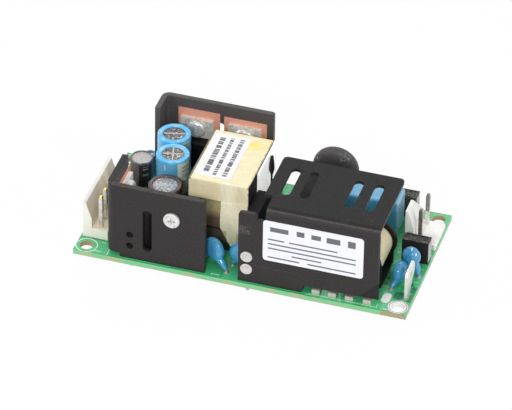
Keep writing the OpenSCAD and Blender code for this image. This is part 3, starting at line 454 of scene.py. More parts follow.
# Finishes of this board, in sRGB. Each: its name, two tones, values other than the usual, patches
finishes = [
    ("blackFilm", (34, 32, 33), (28, 26, 27), {"grain": 0.8, "shine": 0.3}),
    ("paleRivet", (218, 212, 209), (198, 192, 189), {"grain": 1.2, "metal": 0.1}),
    ("tinned", (238, 237, 232), (222, 220, 215), {"rough": 0.3, "grain": 0.5, "bump": 0.03, "metal": 0.25}),
    ("solder", (214, 216, 218), (178, 180, 184), {"rough": 0.24, "grain": 1.6, "metal": 0.75}),
    ("dullSolder", (176, 184, 176), (116, 128, 118), {"rough": 0.45, "grain": 1.2, "metal": 0.3}),
    ("pinkPad", (234, 170, 148), (222, 154, 132), {"rough": 0.62, "grain": 1.2, "bump": 0.3, "shine": 0.3}),
    ("blackEpoxy", (28, 27, 28), (22, 21, 22), {"rough": 0.6, "grain": 3.0, "bump": 0.3, "shine": 0.18}),
    # Smeared with white paste by the left wall
    ("greasedEpoxy", (38, 36, 37), (30, 29, 30), {"rough": 0.6, "grain": 3.0, "bump": 0.3, "shine": 0.3},
     ((238, 238, 234), (-39, -21, 11.0), (-33, -8, 17.5), 1.2, (0.5, 3.0, 0.4, 0.5), 0.4)),
    # The strip of the core under the tape band is painted olive: the tape's colour in painted shade
    ("ferrite", (30, 28, 29), (24, 23, 24), {"rough": 0.7, "grain": 2.2, "bump": 0.3, "shine": 0.2},
     ((170, 158, 116), (-19.7, -12.5, 18.4), (-4.0, -11.6, 21), 0.1, 1.0, 0.5),
     # A browner patch lower on the core's front
     ((92, 80, 74), (-17.5, -12.5, 3.5), (-3.5, -11.5, 9), 0.3, 0.8)),
    ("blackFormer", (30, 29, 30), (24, 23, 24), {"rough": 0.55, "shine": 0.25}),
    ("blackSleeve", (36, 34, 35), (28, 27, 28), {"rough": 0.6, "grain": 0.4, "shine": 0.2}),
    ("bulkSleeve", (32, 30, 32), (25, 24, 26), {"rough": 0.62, "grain": 0.3, "shine": 0.2}),
    # Glossy, with two painted glints on the right disc
    ("blueCoat", (74, 164, 212), (62, 146, 194), {"rough": 0.14, "grain": 0.5, "bump": 0.03, "coat": 0.4},
     ((244, 250, 252), (46.7, -6.6, 10.2), (47.2, -5.5, 11.1), 0.15, 0.9),
     ((244, 250, 252), (48.3, -7.7, 9.5), (48.75, -6.6, 10.3), 0.15, 0.9)),
    # Warmer on the inside: painted warm light in its shaded hollow
    ("ivoryNylon", (246, 243, 234), (241, 237, 226), {"rough": 0.42, "grain": 0.35},
     ((255, 242, 218), (-49.0, -18.2, 4.8), (-42, 6, 14.2), 0.1)),
    ("whiteNylon", (254, 253, 250), (248, 247, 243), {"rough": 0.42, "grain": 0.35}),
    # The white barrier glows a little: painted light that keeps it white in its shade
    ("whiteMould", (255, 254, 251), (251, 250, 246), {"grain": 0.4, "glow": 0.4}),
    ("chipBody", (150, 142, 130), (126, 116, 102), {"grain": 2.0}),
    ("chipEnd", (220, 214, 204), (184, 178, 168), {"rough": 0.35, "grain": 1.6, "metal": 0.15}),
    # Crackled; pale flecks on its right shoulder, dust and painted sheen; a painted glint on its left edge
    ("darkCoat", (82, 78, 79), (66, 63, 64), {"rough": 0.4, "grain": 1.2, "bump": 0.6, "shine": 0.35},
     ((118, 120, 126), (17.0, 18.6, 17.6), (20.6, 22, 20.8), 0.9, (1.1, 3.0, 0.5, 0.64)),
     ((176, 174, 172), (8.4, 18.6, 13.0), (11.2, 22, 19.0), 0.7, (1.6, 3.0, 0.52, 0.62))),
    # Paler at its right end: a painted highlight
    ("blueCase", (100, 186, 226), (90, 172, 214), {"rough": 0.3, "grain": 0.3, "bump": 0.04, "coat": 0.3},
     ((196, 226, 240), (37.6, 8, 0), (39, 19, 14.5), 0.4, 0.6))]
for name, light, dark, values, *patches in finishes:
    f = Finish(name, light, dark, **values)
    for patch in patches:
        f.patch(*patch)
    f.done()


# Bent black sheets: specks all over, worn edges, scuffs, a few patches, a top painted darker as painted shade
def sheetFinish(name, light, dark, edges, scuffs, patches, shadedTopFrom=None):
    f = Finish(name, light, dark, grain=1.6, bump=0.22, shine=0.2)
    f.lay((86, 82, 80), f.flecks(6.0, 2.0, 0.5, 0.72), 0.3)
    for low, high, amount in edges:
        f.lay((150, 146, 142), f.box(low, high, 0.25), f.flecks(2.6, 3.0, 0.35, 0.75, 0.6), amount)
    for low, high, amount in scuffs:
        f.lay((186, 182, 176), f.box(low, high, 0.6), f.group("scuffs", Amount=amount)[0], rough=0.45)
    # The top face painted darker: painted shade
    if shadedTopFrom:
        f.lay((29, 27, 28), f.along(2, shadedTopFrom, shadedTopFrom + 0.45), 0.9)
    for patch in patches:
        f.patch(*patch)
    f.done()


sheetFinish("leftSheet", (52, 49, 49), (43, 41, 41),
            [((-41, -26, 26.95), (-10, -8, 27.7), 0.3), ((-42, -26, 1), (-40.5, -8, 28), 0.12)],
            [((-14, -26, 22), (-11, -24, 25), 0.35)],
            # The wall's inner face painted lighter: painted light in its shade
            [((104, 98, 98), (-39.3, -22.6, 1), (-39.0, -8, 26.9), 0.08, 0.8),
             # The wall's top edge painted darker: painted shade
             ((36, 34, 34), (-41, -23.4, 26.95), (-39.1, -8, 27.6), 0.1, 0.6)])
# The back sheet: the same black metal painted lighter, painted light on a sheet in shade
sheetFinish("backSheet", (90, 86, 86), (79, 76, 76),
            [((-40, 15, 27.5), (-4, 26, 28.2), 0.2), ((-40, 15, 20), (-38.6, 17, 28.2), 0.3)], [], [])
sheetFinish("shroudSheet", (52, 49, 49), (43, 41, 41),
            [((5, -25, 28.15), (43, -23.2, 28.75), 0.4), ((5, 1.9, 28), (43, 3, 30), 0.15),
             ((41.7, -25, 3), (43, 3, 30), 0.2), ((-1, -26, 26.4), (5.2, -23, 27), 0.2)],
            [((29.6, -23.2, 28.5), (32.0, -21.4, 29.6), 3.0), ((37.6, -20.6, 28.5), (39.0, -19.2, 29.6), 3.0),
             ((5, -25, 26.5), (11, -22, 29.6), 0.7), ((-1, -25, 18.6), (4.5, -24, 22.0), 5.0)],
            [((96, 92, 91), (4, -25, 7.8), (19, -24, 8.3), 0.4, 0.3)], shadedTopFrom=28.5)

# Plated tabs and screws: darker streaks over the pale metal are painted reflections of their surroundings
for name, light, dark, reflectionStreak, rough, metal in (
        ("platedTab", (238, 236, 228), (214, 211, 202), (150, 147, 138), 0.35, 0.15),
        ("greasedTab", (246, 246, 243), (232, 232, 229), (190, 189, 184), 0.5, 0.05),
        ("zincScrew", (240, 240, 238), (214, 214, 212), (150, 152, 154), 0.28, 0.4)):
    f = Finish(name, light, dark, rough=rough, grain=0.9, bump=0.25, metal=metal)
    f.lay(reflectionStreak, f.flecks(1.3, 3.0, 0.52, 0.66, 0.65), 0.7)
    f.done()

# Moulded bodies with plated legs: what lies outside the body's box is metal
for name, light, dark, grain, low, high, legs in (
        ("optoMould", (248, 246, 240), (238, 236, 228), 0.6, (-7.0, 17, 2.05), (-2.2, 23, 6),
         (186, 184, 180)),
        ("controllerBody", (34, 33, 34), (27, 26, 27), 2.0, (17.5, -3.98, -2), (22.5, -0.02, -0.19),
         (190, 190, 190))):
    f = Finish(name, light, dark, grain=grain)
    f.lay(legs, calc(f.tree, "SUBTRACT", 1.0, f.box(low, high)), rough=0.3, metal=0.7)
    f.done()

# Pins: bright steel with a coloured tip above a height, some with a pale foot
for name, light, dark, tipFrom, tip, metal, feet in (
        ("goldPin", (236, 232, 225), (208, 203, 194), 15.0, (250, 232, 160), 0.85, []),
        ("steelPin", (158, 154, 149), (128, 124, 120), 13.4, (132, 128, 124), 0.5,
         [((232, 227, 222), (40, 15, 2), (52, 20, 8.2), 0.4)])):
    f = Finish(name, light, dark, rough=0.28, grain=0.6, bump=0.04, metal=metal)
    f.lay(tip, f.along(2, tipFrom, tipFrom + 0.5))
    for foot in feet:
        f.patch(*foot)
    f.done()

# Legs of the sheets: dark above the board, painted shade in their holes; tinned where they pass through
f = Finish("sheetLeg", (214, 213, 209), (172, 170, 166), rough=0.32, grain=1.0, metal=0.6)
f.lay((44, 42, 42), f.along(2, 2.0, 2.4), rough=0.6, metal=0.0)
f.done()

# Bare can tops: dull aluminium with dark flecks, bright flecks as painted glints, one beige
f = Finish("canMetal", (130, 129, 129), (84, 82, 82), rough=0.36, grain=0.7, bump=0.5, metal=0.2)
f.lay((52, 50, 51), f.flecks(0.9, 4.0, 0.5, 0.58, 0.7), 0.8)
f.lay((240, 241, 242), f.flecks(1.15, 3.0, 0.57, 0.63, 0.75))
f.patch((206, 200, 194), (-42, -3, 18), (-34.4, 5, 21), 0.1, 0.75)
# The brown can's top is paler, with painted glints and blue flecks as painted reflections
brownTop = f.box((-31.3, -14.3, 18), (-23.3, -6.3, 21), 0.1)
f.lay((206, 205, 206), brownTop, 0.34)
f.lay((238, 238, 240), brownTop, f.flecks(1.4, 2.0, 0.54, 0.58, 0.7), 0.8)
f.lay((96, 164, 202), brownTop, f.along(0, -28.6, -26.6), f.flecks(1.7, 2.0, 0.55, 0.6, 0.7), 0.7)
f.done()

# Tape over the choke's coil: its turns show as lines
f = Finish("creamCoil", (240, 231, 198), (228, 215, 176), rough=0.36, grain=0.6, coat=0.2)
coilLines = f.flecks(1.0, 2.0, 0.4, 0.6, stretch=(0.3, 2.2, 0.3))
f.lay((204, 188, 144), coilLines, 0.25)
f.raiseBy(coilLines, 0.8)
f.done()


# Sleeves of the standing capacitors: a stripe down one side with plain dashes, a paler flecked rim
def sleeveFinish(name, light, dark, stripe, dash, centre, angle, width, top, side=None,
                 rimTint=(226, 236, 240), paintedGlints=()):
    f = Finish(name, light, dark, rough=0.28, grain=0.35, coat=0.4)
    band, core = (f.group("canStripe", Centre=(*centre, 0), Angle=angle, Width=w)[0]
                  for w in (width, width * 0.45))
    below = f.along(2, top - 0.5, top - 1.1)
    # An optional tint over the body below the shoulder: painted shade
    if side:
        f.lay(side, below, 0.9)
    f.lay(stripe, band, below)
    f.lay(dash, core, below, f.dashes(1.5, (0, 0, 1), 0.5))
    f.lay(rimTint, f.along(2, top - 0.6, top - 0.1), f.flecks(0.5, 3.0, 0.5, 0.66), 0.4)
    # Painted glints on the sleeve
    for paintedGlint in paintedGlints:
        f.patch(*paintedGlint)
    f.done()


sleeveFinish("backBlueSleeve", (94, 200, 250), (80, 182, 234), (176, 212, 224), (120, 160, 178),
             (-31.7, 11.5), -28, 24, 22.9)
# Front blue: a lighter stripe as painted light, a darker body as painted shade, a painted glint
sleeveFinish("frontBlueSleeve", (94, 200, 250), (80, 182, 234), (232, 246, 234), (176, 200, 184),
             (-28.5, 0.9), -26, 30, 23.5, (102, 180, 222),
             paintedGlints=[((226, 240, 248), (-29.7, -4.8, 20.2), (-29.1, -3.4, 22.2), 0.2, 0.75)])
sleeveFinish("brownSleeve", (84, 58, 52), (66, 46, 41), (150, 132, 116), (84, 62, 56),
             (-27.3, -10.3), 60, 20, 20.2, rimTint=(112, 94, 88))
sleeveFinish("greySleeve", (100, 96, 95), (84, 81, 80), (42, 40, 40), (118, 115, 112),
             (-38.1, 0.7), -52, 34, 20.0)
sleeveFinish("smallSleeve", (88, 190, 242), (74, 170, 222), (200, 226, 240), (100, 140, 160),
             (-41.1, 18.0), -120, 22, 8.6)

# Cover label: white paper with plain grey bars where print would be. Each bar: left, foot, length, height
coverBars = [(9.2, 21.6, 5.6, 1.7), (17.2, 21.6, 2.4, 1.9), (21.6, 21.6, 3.0, 1.7),
             (26.2, 21.4, 4.2, 2.0), (32.6, 21.2, 2.4, 2.4), (8.6, 18.5, 5.0, 0.55),
             (15.0, 18.5, 14.6, 0.55), (8.6, 16.9, 26.6, 0.55), (8.6, 15.3, 26.6, 0.55),
             (15.8, 13.7, 9.0, 0.55), (8.6, 12.1, 9.6, 0.55), (20.6, 12.1, 14.6, 0.55)]
f = Finish("coverPaper", (241, 241, 248), (235, 235, 242), rough=0.42, grain=0.25, bump=0.05)
bars = [f.box((x, -25, z), (x + length, -24, z + height), 0.06) for x, z, length, height in coverBars]
f.lay((104, 104, 112), f.merge("MAXIMUM", bars), rough=0.5)
f.done()

# Paper label on the transformer: rows of broken grey bars. Each: left, front, width, length, beat of the gaps
paperBars = [(-16.4, -8.4, 1.7, 18.2, 1.5), (-13.3, -9.2, 1.2, 19.0, 2.1), (-10.4, -9.4, 1.4, 19.4, 1.8)]
f = Finish("paperLabel", (246, 246, 247), (240, 240, 242), grain=0.25, bump=0.05)
for x, y, width, length, beat in paperBars:
    row = f.box((x, y, 25), (x + width, y + length, 27), 0.06)
    f.lay((108, 106, 112), row, f.dashes(beat, (0, 1, 0), 0.44))
f.done()


# Cream tape: folds run down the tail, a stain on the top, a dark left rim, flecks on its cut edge
def makeCreamTape():
    f = Finish("creamTape", (244, 235, 194), (238, 228, 182), rough=0.3, grain=0.3, bump=0.35, coat=0.2)
    x, y, _ = f.axes
    front = calc(f.tree, "LESS_THAN", y, -11.7)
    band = calc(f.tree, "LESS_THAN", x, -9.4)
    foldsAndShade = f.flecks(1.0, 2.0, 0.4, 0.6, stretch=(0.36, 0.1, 0.035))
    # The front painted lighter: painted light
    f.lay((255, 248, 218), front)
    # Painted shade in the folds, which are raised too
    f.lay((236, 221, 180), front, foldsAndShade, 0.75)
    f.raiseBy(f.times(front, foldsAndShade), 3.0)
    # The band left of the tail painted darker: painted shade
    f.lay((240, 226, 184), front, band, 0.6)
    # Olive patches low on the tail: painted shade
    for low, high in (((-9.4, -14, 4.2), (-7.3, -11.4, 9.6)), ((-4.7, -14, 3), (-3.2, -11.4, 9.4))):
        f.patch((186, 171, 112), low, high, 0.5, 0.75)
    # A painted highlight along the front top edge
    f.patch((255, 252, 232), (-21, -13.4, 25.2), (0, -12.0, 26.6), 0.3, (0.7, 3.0, 0.4, 0.6))
    stain = f.flecks(0.45, 3.0, 0.36, 0.56)
    for low, high in (((-8.2, 5.6, 25), (-1.8, 11.2, 27)), ((-5.6, 10.8, 25), (-1.0, 13.2, 27))):
        f.lay((250, 224, 112), f.box(low, high, 1.0), stain, 0.9)
    leftRim = f.box((-21, -14, 25.3), (-18.85, 14, 27), 0.1)
    cutEdge = f.box((-1.6, -14, 20.4), (0, 14, 27), 0.12)
    specks = f.noise(1.1, 3.0, 0.7)
    f.lay((84, 78, 74), leftRim, 0.9)
    for tint, area, low, high, share in (((150, 132, 116), leftRim, 0.5, 0.6, 0.5),
                                         ((120, 104, 84), cutEdge, 0.44, 0.54, 0.7),
                                         ((206, 140, 118), cutEdge, 0.56, 0.64, 0.7)):
        f.lay(tint, area, spread(f.tree, specks, low, high), share)
    f.done()


makeCreamTape()

# Taped winding in painted shade: olive under the band, brown and then black further down
for name in ("windingTape", "formerTape"):
    f = Finish(name, (198, 186, 142), (172, 156, 112), rough=0.4, grain=0.5, coat=0.2)
    f.lay((112, 90, 76), f.along(2, 15.4, 12.4))
    f.lay((40, 40, 38), f.along(2, 10.4, 6.4))
    f.done()

# Box fuses: gritty pale top, light-grey right side; the back one is gritty all over its upper half
for name, gritFrom, side in (("fuseCase", 9.25, 50.5), ("backFuseCase", 4.6, 41.1)):
    f = Finish(name, (36, 34, 35), (28, 27, 28), rough=0.55, grain=1.6, shine=0.3)
    grit = f.flecks(2.2, 4.0, 0.44, 0.6, 0.75)
    f.lay((138, 133, 126), f.along(2, gritFrom, gritFrom + 0.1), grit, 0.75, rough=0.6)
    # The right side painted light grey: painted light
    f.patch((206, 206, 208), (side - 0.1, -1, 2.4), (side + 0.2, 25, 9.0), 0.05, 0.8)
    f.done()

# Board: green mask over copper areas, painted shadows, print marks, bare edges and hole walls, a tinned ring
boardLook = {"halfLength": 50.75, "halfWidth": 25.35, "printFrom": 1.55,
             "holes": [(-47.625, -22.225), (47.625, -22.225), (-47.625, 22.225), (47.625, 22.225)],
             "paintedShadowAreas": [((44.8, -18.8, 1), (48.2, -15.2, 2)), ((49.0, -19.4, 1), (50.7, -11.5, 2)),
                           ((39.5, -13.5, 1), (43.0, -6.0, 2)), ((-48.4, -18.9, 1), (-42.5, -18.2, 2))],
             "printDashes": [((-44.7, -24.1), (-44.2, -23.9)), ((-43.9, -24.2), (-43.6, -23.7)),
                             ((-43.3, -24.1), (-42.6, -23.9)), ((-40.6, -25.1), (-40.42, -22.3)),
                             ((-43.7, -19.7), (-43.1, -19.5)), ((-42.8, -19.9), (-42.6, -19.4)),
                             ((-8.6, -24.0), (-6.2, -23.8)), ((-8.6, -24.4), (-8.4, -23.8)),
                             ((21.0, -24.35), (41.6, -24.2)), ((41.6, -24.6), (41.75, -22.6)),
                             ((30.6, -24.9), (30.75, -23.9)), ((43.6, -24.4), (45.0, -24.2)),
                             ((20.2, -24.7), (22.2, -24.55)), ((44.6, -3.6), (44.75, 5.2)),
                             ((41.4, 6.2), (50.4, 6.35)), ((-50.4, 6.6), (-42.2, 6.75)),
                             ((24.4, -21.0), (24.55, -16.0)), ((46.6, -9.4), (50.2, -9.25)),
                             ((46.4, -3.0), (50.0, -2.85)), ((43.0, -1.6), (46.4, -1.45)),
                             ((41.95, -20.2), (44.5, -18.0))],
             "printRings": [((-47.625, -22.225), 3.05, 3.3), ((-47.625, 22.225), 3.05, 3.3),
                            ((43.2, -20.2), 0, 1.3), ((43.3, -18.0), 0, 1.25)],
             "tinnedRing": ((47.625, -22.225), 0.0, 3.16),
             "tinnedRims": [((47.625, -22.225), 2.5, 2.72), ((47.625, -22.225), 3.0, 3.16)]}


def bricks(f, angle, mortar, bias, width, height, **props):
    flat = f.mapped(f.coords, Rotation=(0, 0, angle), Scale=(1, 1, 0))
    values = {"Vector": flat, "Color1": (0, 0, 0, 1), "Color2": (1, 1, 1, 1), "Mortar": (0.5, 0.5, 0.5, 1),
              "Scale": 1.0, "Mortar Size": mortar, "Mortar Smooth": 0.0, "Bias": bias, "Brick Width": width,
              "Row Height": height}
    node = put(f.tree, "ShaderNodeTexBrick", values, **props)
    return split(f.tree, node.outputs["Color"])[0], node.outputs["Fac"]


def makeBoardMask():
    look = boardLook
    f = Finish("boardMask", (86, 206, 140), (72, 192, 124), rough=0.3, grain=0.5, bump=0.2, coat=0.3)
    x, y, z = f.axes
    areas, areaGaps = bricks(f, 0, 0.16, 0.0, 15.0, 6.3, offset=0.37, squash=0.62, squash_frequency=3)
    strips, stripGaps = bricks(f, math.pi / 2, 0.14, -0.4, 21.0, 2.7, offset=0.43, squash=1.6,
                               squash_frequency=2)
    copper = calc(f.tree, "GREATER_THAN", strips, 0.66)
    gaps = calc(f.tree, "MAXIMUM", areaGaps, f.times(stripGaps, copper))
    f.lay((56, 172, 106), spread(f.tree, areas, 0.1, 0.9), 0.6)
    f.lay((104, 214, 152), copper, 0.5)
    f.lay((46, 154, 94), gaps, 0.75)
    flat = f.mapped(f.coords, Scale=(1, 1, 0))
    dots = put(f.tree, "ShaderNodeTexVoronoi", {"Vector": flat, "Scale": 0.28, "Randomness": 0.9})
    f.lay((168, 222, 186), calc(f.tree, "LESS_THAN", dots.outputs["Distance"], 0.085))
    f.raiseBy(gaps, -1.2)
    # Painted shadows beside the parts and at the header's foot
    shade = f.merge("MAXIMUM", [f.box(low, high, 0.5) for low, high in look["paintedShadowAreas"]])
    f.lay((20, 56, 40), shade, f.flecks(0.9, 3.0, 0.3, 0.6, least=0.4))
    marks = [f.box((*low, 1), (*high, 2)) for low, high in look["printDashes"]]
    marks += [f.ring(*ring) for ring in look["printRings"]]
    topSide = calc(f.tree, "GREATER_THAN", z, look["printFrom"])
    f.lay((255, 255, 255), topSide, f.merge("MAXIMUM", marks), rough=0.5)
    ends = [calc(f.tree, "GREATER_THAN", calc(f.tree, "ABSOLUTE", way), reach)
            for way, reach in ((x, look["halfLength"]), (y, look["halfWidth"]))]
    side = f.merge("MAXIMUM", ends)
    f.lay((126, 200, 142), side, rough=0.6)
    f.lay((150, 176, 140), side, f.along(2, 0.7, 0.2), 0.5, rough=0.7)
    f.lay((186, 180, 140), side, f.flecks(0.22, 3.0, 0.5, 0.62), 0.7, rough=0.7)
    walls = f.merge("MAXIMUM", [f.ring(hole, 0.0, 2.04) for hole in look["holes"]])
    f.lay((178, 154, 116), walls, rough=0.7)
    f.lay((240, 240, 238), f.ring(*look["tinnedRing"]), rough=0.28, metal=0.2)
    f.lay((84, 92, 86), f.merge("MAXIMUM", [f.ring(*ring) for ring in look["tinnedRims"]]), 0.75)
    corner = f.box((43, -27, -0.5), (51.5, -25.2, 2), 0.15)
    f.lay((172, 144, 108), corner, f.flecks(1.4, 3.0, 0.3, 0.6, least=0.5), rough=0.7)
    f.done()


makeBoardMask()
print("materials done")




# Bent sheets: the folded shape of the node with broken edges
for sheet in (("left_heatsink", "leftHeatsinkSheet", "leftSheet", 0.22),
              ("back_heatsink", "backHeatsinkSheet", "backSheet", 0.22),
              ("shroud", "coverSheet", "shroudSheet", 0.2)):
    dress(*sheet)

# Rivets: flat pressed heads with a raised rim
rivet = {"places": [(2.2, 6.4), (2.2, 10.8)], "front": -24.4, "radius": 1.8, "height": 0.5, "rim": 0.2,
         "dish": 0.14}


def makeRivets():
    r, h, rim = rivet["radius"], rivet["height"], rivet["rim"]
    steps = ([(r * 0.96, 0)] + arc(r - rim, h - rim, rim, 0, 90) +
             [(r * 0.62, h), (r * 0.5, h - rivet["dish"]), (r * 0.12, h - rim)])
    places = [(x, rivet["front"], z) for x, z in rivet["places"]]
    heads = joinPieces(copiesAt(turn("rivet", steps), places, facingFront), "rivetHeads")
    smooth(heads)
    settle(heads, "paleRivet", "shroud_rivets")


makeRivets()
print("sheets and rivets done")

# Screws: a pan head or a flat one with a crossed recess, and a thread
screw = {"recess": 1.65, "recessWidth": 0.78, "recessTaper": 0.55, "shankRadius": 1.35, "pitch": 0.5,
         "threadDepth": 0.16, "endDepth": 0.2, "nutEdge": 0.18}
# Each kind: its radius, height and depth of recess
screwKinds = {"panHead": (2.95, 2.1, 1.0), "flatHead": (2.5, 0.9, 0.6)}
# Each: its head's seat, the turn of its axis, the length of its thread, its kind, its head's own turn
screwPlaces = [((-27.7, 21.2, 19.2), (90, 0, 0), 3.2, "panHead", 20),
               ((-12.8, 21.2, 19.4), (90, 0, 0), 3.2, "panHead", -35),
               ((-37.6, -14.0, 18.6), (90, 0, 90), 3.2, "panHead", 10),
               ((9.6, -21.8, 18.0), (-90, 0, 0), 2.6, "panHead", 40),
               ((-20.6, -24.4, 18.7), (90, 0, 0), 5.6, "flatHead", 5)]


def crossRecess(top, depth):
    reach, half, taper = screw["recess"], screw["recessWidth"] / 2, screw["recessTaper"]
    arms = []
    for along, across in ((reach, half), (half, reach)):
        arm = addBox("recessArm", (-along, -across, top - depth), (along, across, top + 1))
        editFaces(arm, lambda centre, normal: normal.z < -0.9)
        bpy.ops.transform.resize(value=(taper, taper, 1), center_override=(0, 0, (top - depth) * mm))
        setMode("OBJECT")
        arms.append(arm)
    combine(*arms, "UNION")
    return arms[0]


def screwHead(kind):
    r, h, depth = screwKinds[kind]
    if kind == "panHead":
        steps = [(r - 0.1, 0), (r, 0.12), (r, h * 0.42)] + arc(r - 1.1, h - 1.15, 1.1, 0, 78, 8)
        steps.append((0.6, h - 0.02))
    else:
        steps = [(r - 0.08, 0), (r, 0.1), (r, h - 0.35)] + arc(r - 0.32, h - 0.32, 0.32, 0, 80)
        steps.append((0.6, h))
    head = turn(kind, steps)
    combine(head, crossRecess(h, depth), "DIFFERENCE")
    smooth(head)
    return head


# The thread is drawn out in ridges along the shank
def screwShank(length):
    r, pitch = screw["shankRadius"], screw["pitch"]
    steps = [(r, 0)]
    for i in range(int(length / pitch)):
        steps += [(r, -pitch * (i + 0.15)), (r - screw["threadDepth"], -pitch * (i + 0.6))]
    return turn("screwShank", steps + [(r - screw["endDepth"], -length)], vertices=24)


def makeScrews():
    heads = {kind: screwHead(kind) for kind in screwKinds}
    pieces = []
    for place, tilt, length, kind, spin in screwPlaces:
        head = copyPiece(heads[kind], "screwHead")
        setDown(head, (0, 0, 0), (0, 0, spin))
        one = joinPieces([head, screwShank(length)], "screw")
        setDown(one, place, tilt)
        pieces.append(one)
    for head in heads.values():
        bpy.data.objects.remove(head)
    screws = joinPieces(pieces, "deviceScrews")
    smooth(screws)
    settle(screws, "zincScrew", "device_screws")
    dress("regulator_nut", "regulatorNut", "zincScrew", screw["nutEdge"])


makeScrews()
print("screws done")

# Power devices: moulded bodies with a round mould mark, plated tabs, pads behind them
device = {"bodyEdge": 0.18, "tabEdge": 0.08, "padEdge": 0.06, "markRadius": 0.85, "markDepth": 0.12,
          "faceOut": 4.5, "markDrop": 8.2, "greased": "wall_diode",
          "pads": {"back_pad_left": "backPadLeft", "back_pad_right": "backPadRight",
                   "left_wall_pad": "leftWallPad", "front_wall_pad": "frontWallPad",
                   "shroud_pad": "coverPad"}}
# Each: its screw hole on the wall, and the way it faces
devicePlaces = {"rectifier_left": ((-27.7, 22.5, 19.2), (0, -1)),
                "rectifier_right": ((-12.8, 22.5, 19.4), (0, -1)),
                "wall_diode": ((-38.9, -14.0, 18.6), (1, 0)), "regulator": ((-20.6, -22.5, 18.7), (0, 1)),
                "switch": ((9.6, -23.1, 18.0), (0, 1))}


def makeDevices():
    r, d, out = device["markRadius"], device["markDepth"], device["faceOut"]
    for name, ((x, y, z), (wayX, wayY)) in devicePlaces.items():
        short, greased = name.replace("_", ""), name == device["greased"]
        body = copyOfNode(name + "_body", short + "Body", 0)
        tilt = (90, 0, math.degrees(math.atan2(wayY, wayX)) + 90)
        centre = (x + wayX * out, y + wayY * out, z - device["markDrop"])
        combine(body, turn("mouldMark", [(r * 0.9, -d), (r, 0), (r, 1)], centre, tilt, 32), "DIFFERENCE")
        roundEdges(body, device["bodyEdge"])
        smooth(body)
        settle(body, "greasedEpoxy" if greased else "blackEpoxy", name + "_body")
        dress(name + "_tab", short + "Tab", "greasedTab" if greased else "platedTab", device["tabEdge"])
    for node, name in device["pads"].items():
        dress(node, name, "pinkPad", device["padEdge"])


makeDevices()
print("power devices done")

# Transformer: ground core, former, winding, creased tape with a loose tail, a paper label
transformer = {"tapeGrain": 0.14, "creaseHeight": 0.14, "creaseSize": 3.2, "foldHeight": 0.7, "foldSize": 1.5,
               "foldStretch": (1, 3, 7.0), "tailLeft": -9.7, "tailFront": -11.5, "bandFrom": 15,
               "bandDrop": 0.9,
               "forms": [("transformer_core", "transformerCore", "ferrite", 0.3, 3),
                         ("transformer_bobbin", "transformerFormer", "formerTape", 0.15),
                         ("transformer_winding", "transformerWinding", "windingTape", 0.2),
                         ("transformer_label", "transformerLabel", "paperLabel", 0.05)]}


# A cloud texture pushes the surface in and out
def crease(obj, name, size, height, **values):
    clouds = bpy.data.textures.new(name, "CLOUDS")
    clouds.noise_scale = size * mm
    applyModifier(obj, "DISPLACE", texture=clouds, mid_level=0.5, strength=height * mm, **values)


# The folds are drawn out along the height, on the loose tail alone
def makeTransformer():
    t = transformer
    for form in t["forms"]:
        dress(*form)
    tape = copyOfNode("transformer_tape", "transformerTape", 0)
    editFaces(tape, lambda centre, normal: (normal.z < -0.9 and centre.y < t["tailFront"] and
                                            centre.z > t["bandFrom"]))
    bpy.ops.transform.translate(value=(0, 0, -t["bandDrop"] * mm))
    setMode("OBJECT")
    melt(tape, t["tapeGrain"], 4)
    crease(tape, "tapeCreases", t["creaseSize"], t["creaseHeight"], texture_coords="LOCAL")
    tail = [v.index for v in tape.data.vertices
            if v.co.x / mm > t["tailLeft"] and v.co.y / mm < t["tailFront"]]
    tape.vertex_groups.new(name="tail").add(tail, 1.0, "REPLACE")
    guide = newObject("foldGuide", None)
    guide.scale = t["foldStretch"]
    bpy.context.view_layer.update()
    crease(tape, "tailFolds", t["foldSize"], t["foldHeight"], texture_coords="OBJECT",
           texture_coords_object=guide, direction="Y", vertex_group="tail")
    bpy.data.objects.remove(guide)
    smooth(tape, 180)
    settle(tape, "creamTape", "transformer_tape")


makeTransformer()
print("transformer done")

# Standing capacitors: shrunk sleeve over a can, crimp at the foot, rolled rim round the bare top
capacitor = {"shoulder": 0.5, "recess": 0.3, "crimpHeight": 2.0, "crimp": 0.45, "ventWidth": 0.45,
             "ventHeight": 0.1, "ventEdge": 0.08}
# Each: its node, name, finish, foot, radius, top, share of the top left bare, turns of the vent ridges
capacitorPlaces = [
    ("back_blue_capacitor", "backBlueSleeve", "backBlueSleeve", (-31.5, 11.5), 5.0, 22.9, 0.66, (14,)),
    ("front_blue_capacitor", "frontBlueSleeve", "frontBlueSleeve", (-28.5, 0.9), 5.0, 23.5, 0.66, (14, 104)),
    ("brown_capacitor", "brownSleeve", "brownSleeve", (-27.3, -10.3), 5.0, 20.2, 0.74, (16,)),
    ("black_capacitor", "blackSleeve", "greySleeve", (-38.1, 0.7), 3.4, 20.0, 0.9, ()),
    ("small_blue_capacitor", "smallBlueSleeve", "smallSleeve", (-41.1, 18.0), 2.0, 8.6, 0.7, ())]
# The lying one's size: its radius, length, share of the end left bare
bulk = {"size": (7.9, 31.5, 0.8), "place": ((13.4, -16.6, 9.5), (-90, 0, 0)), "vents": (0, 60, 120)}


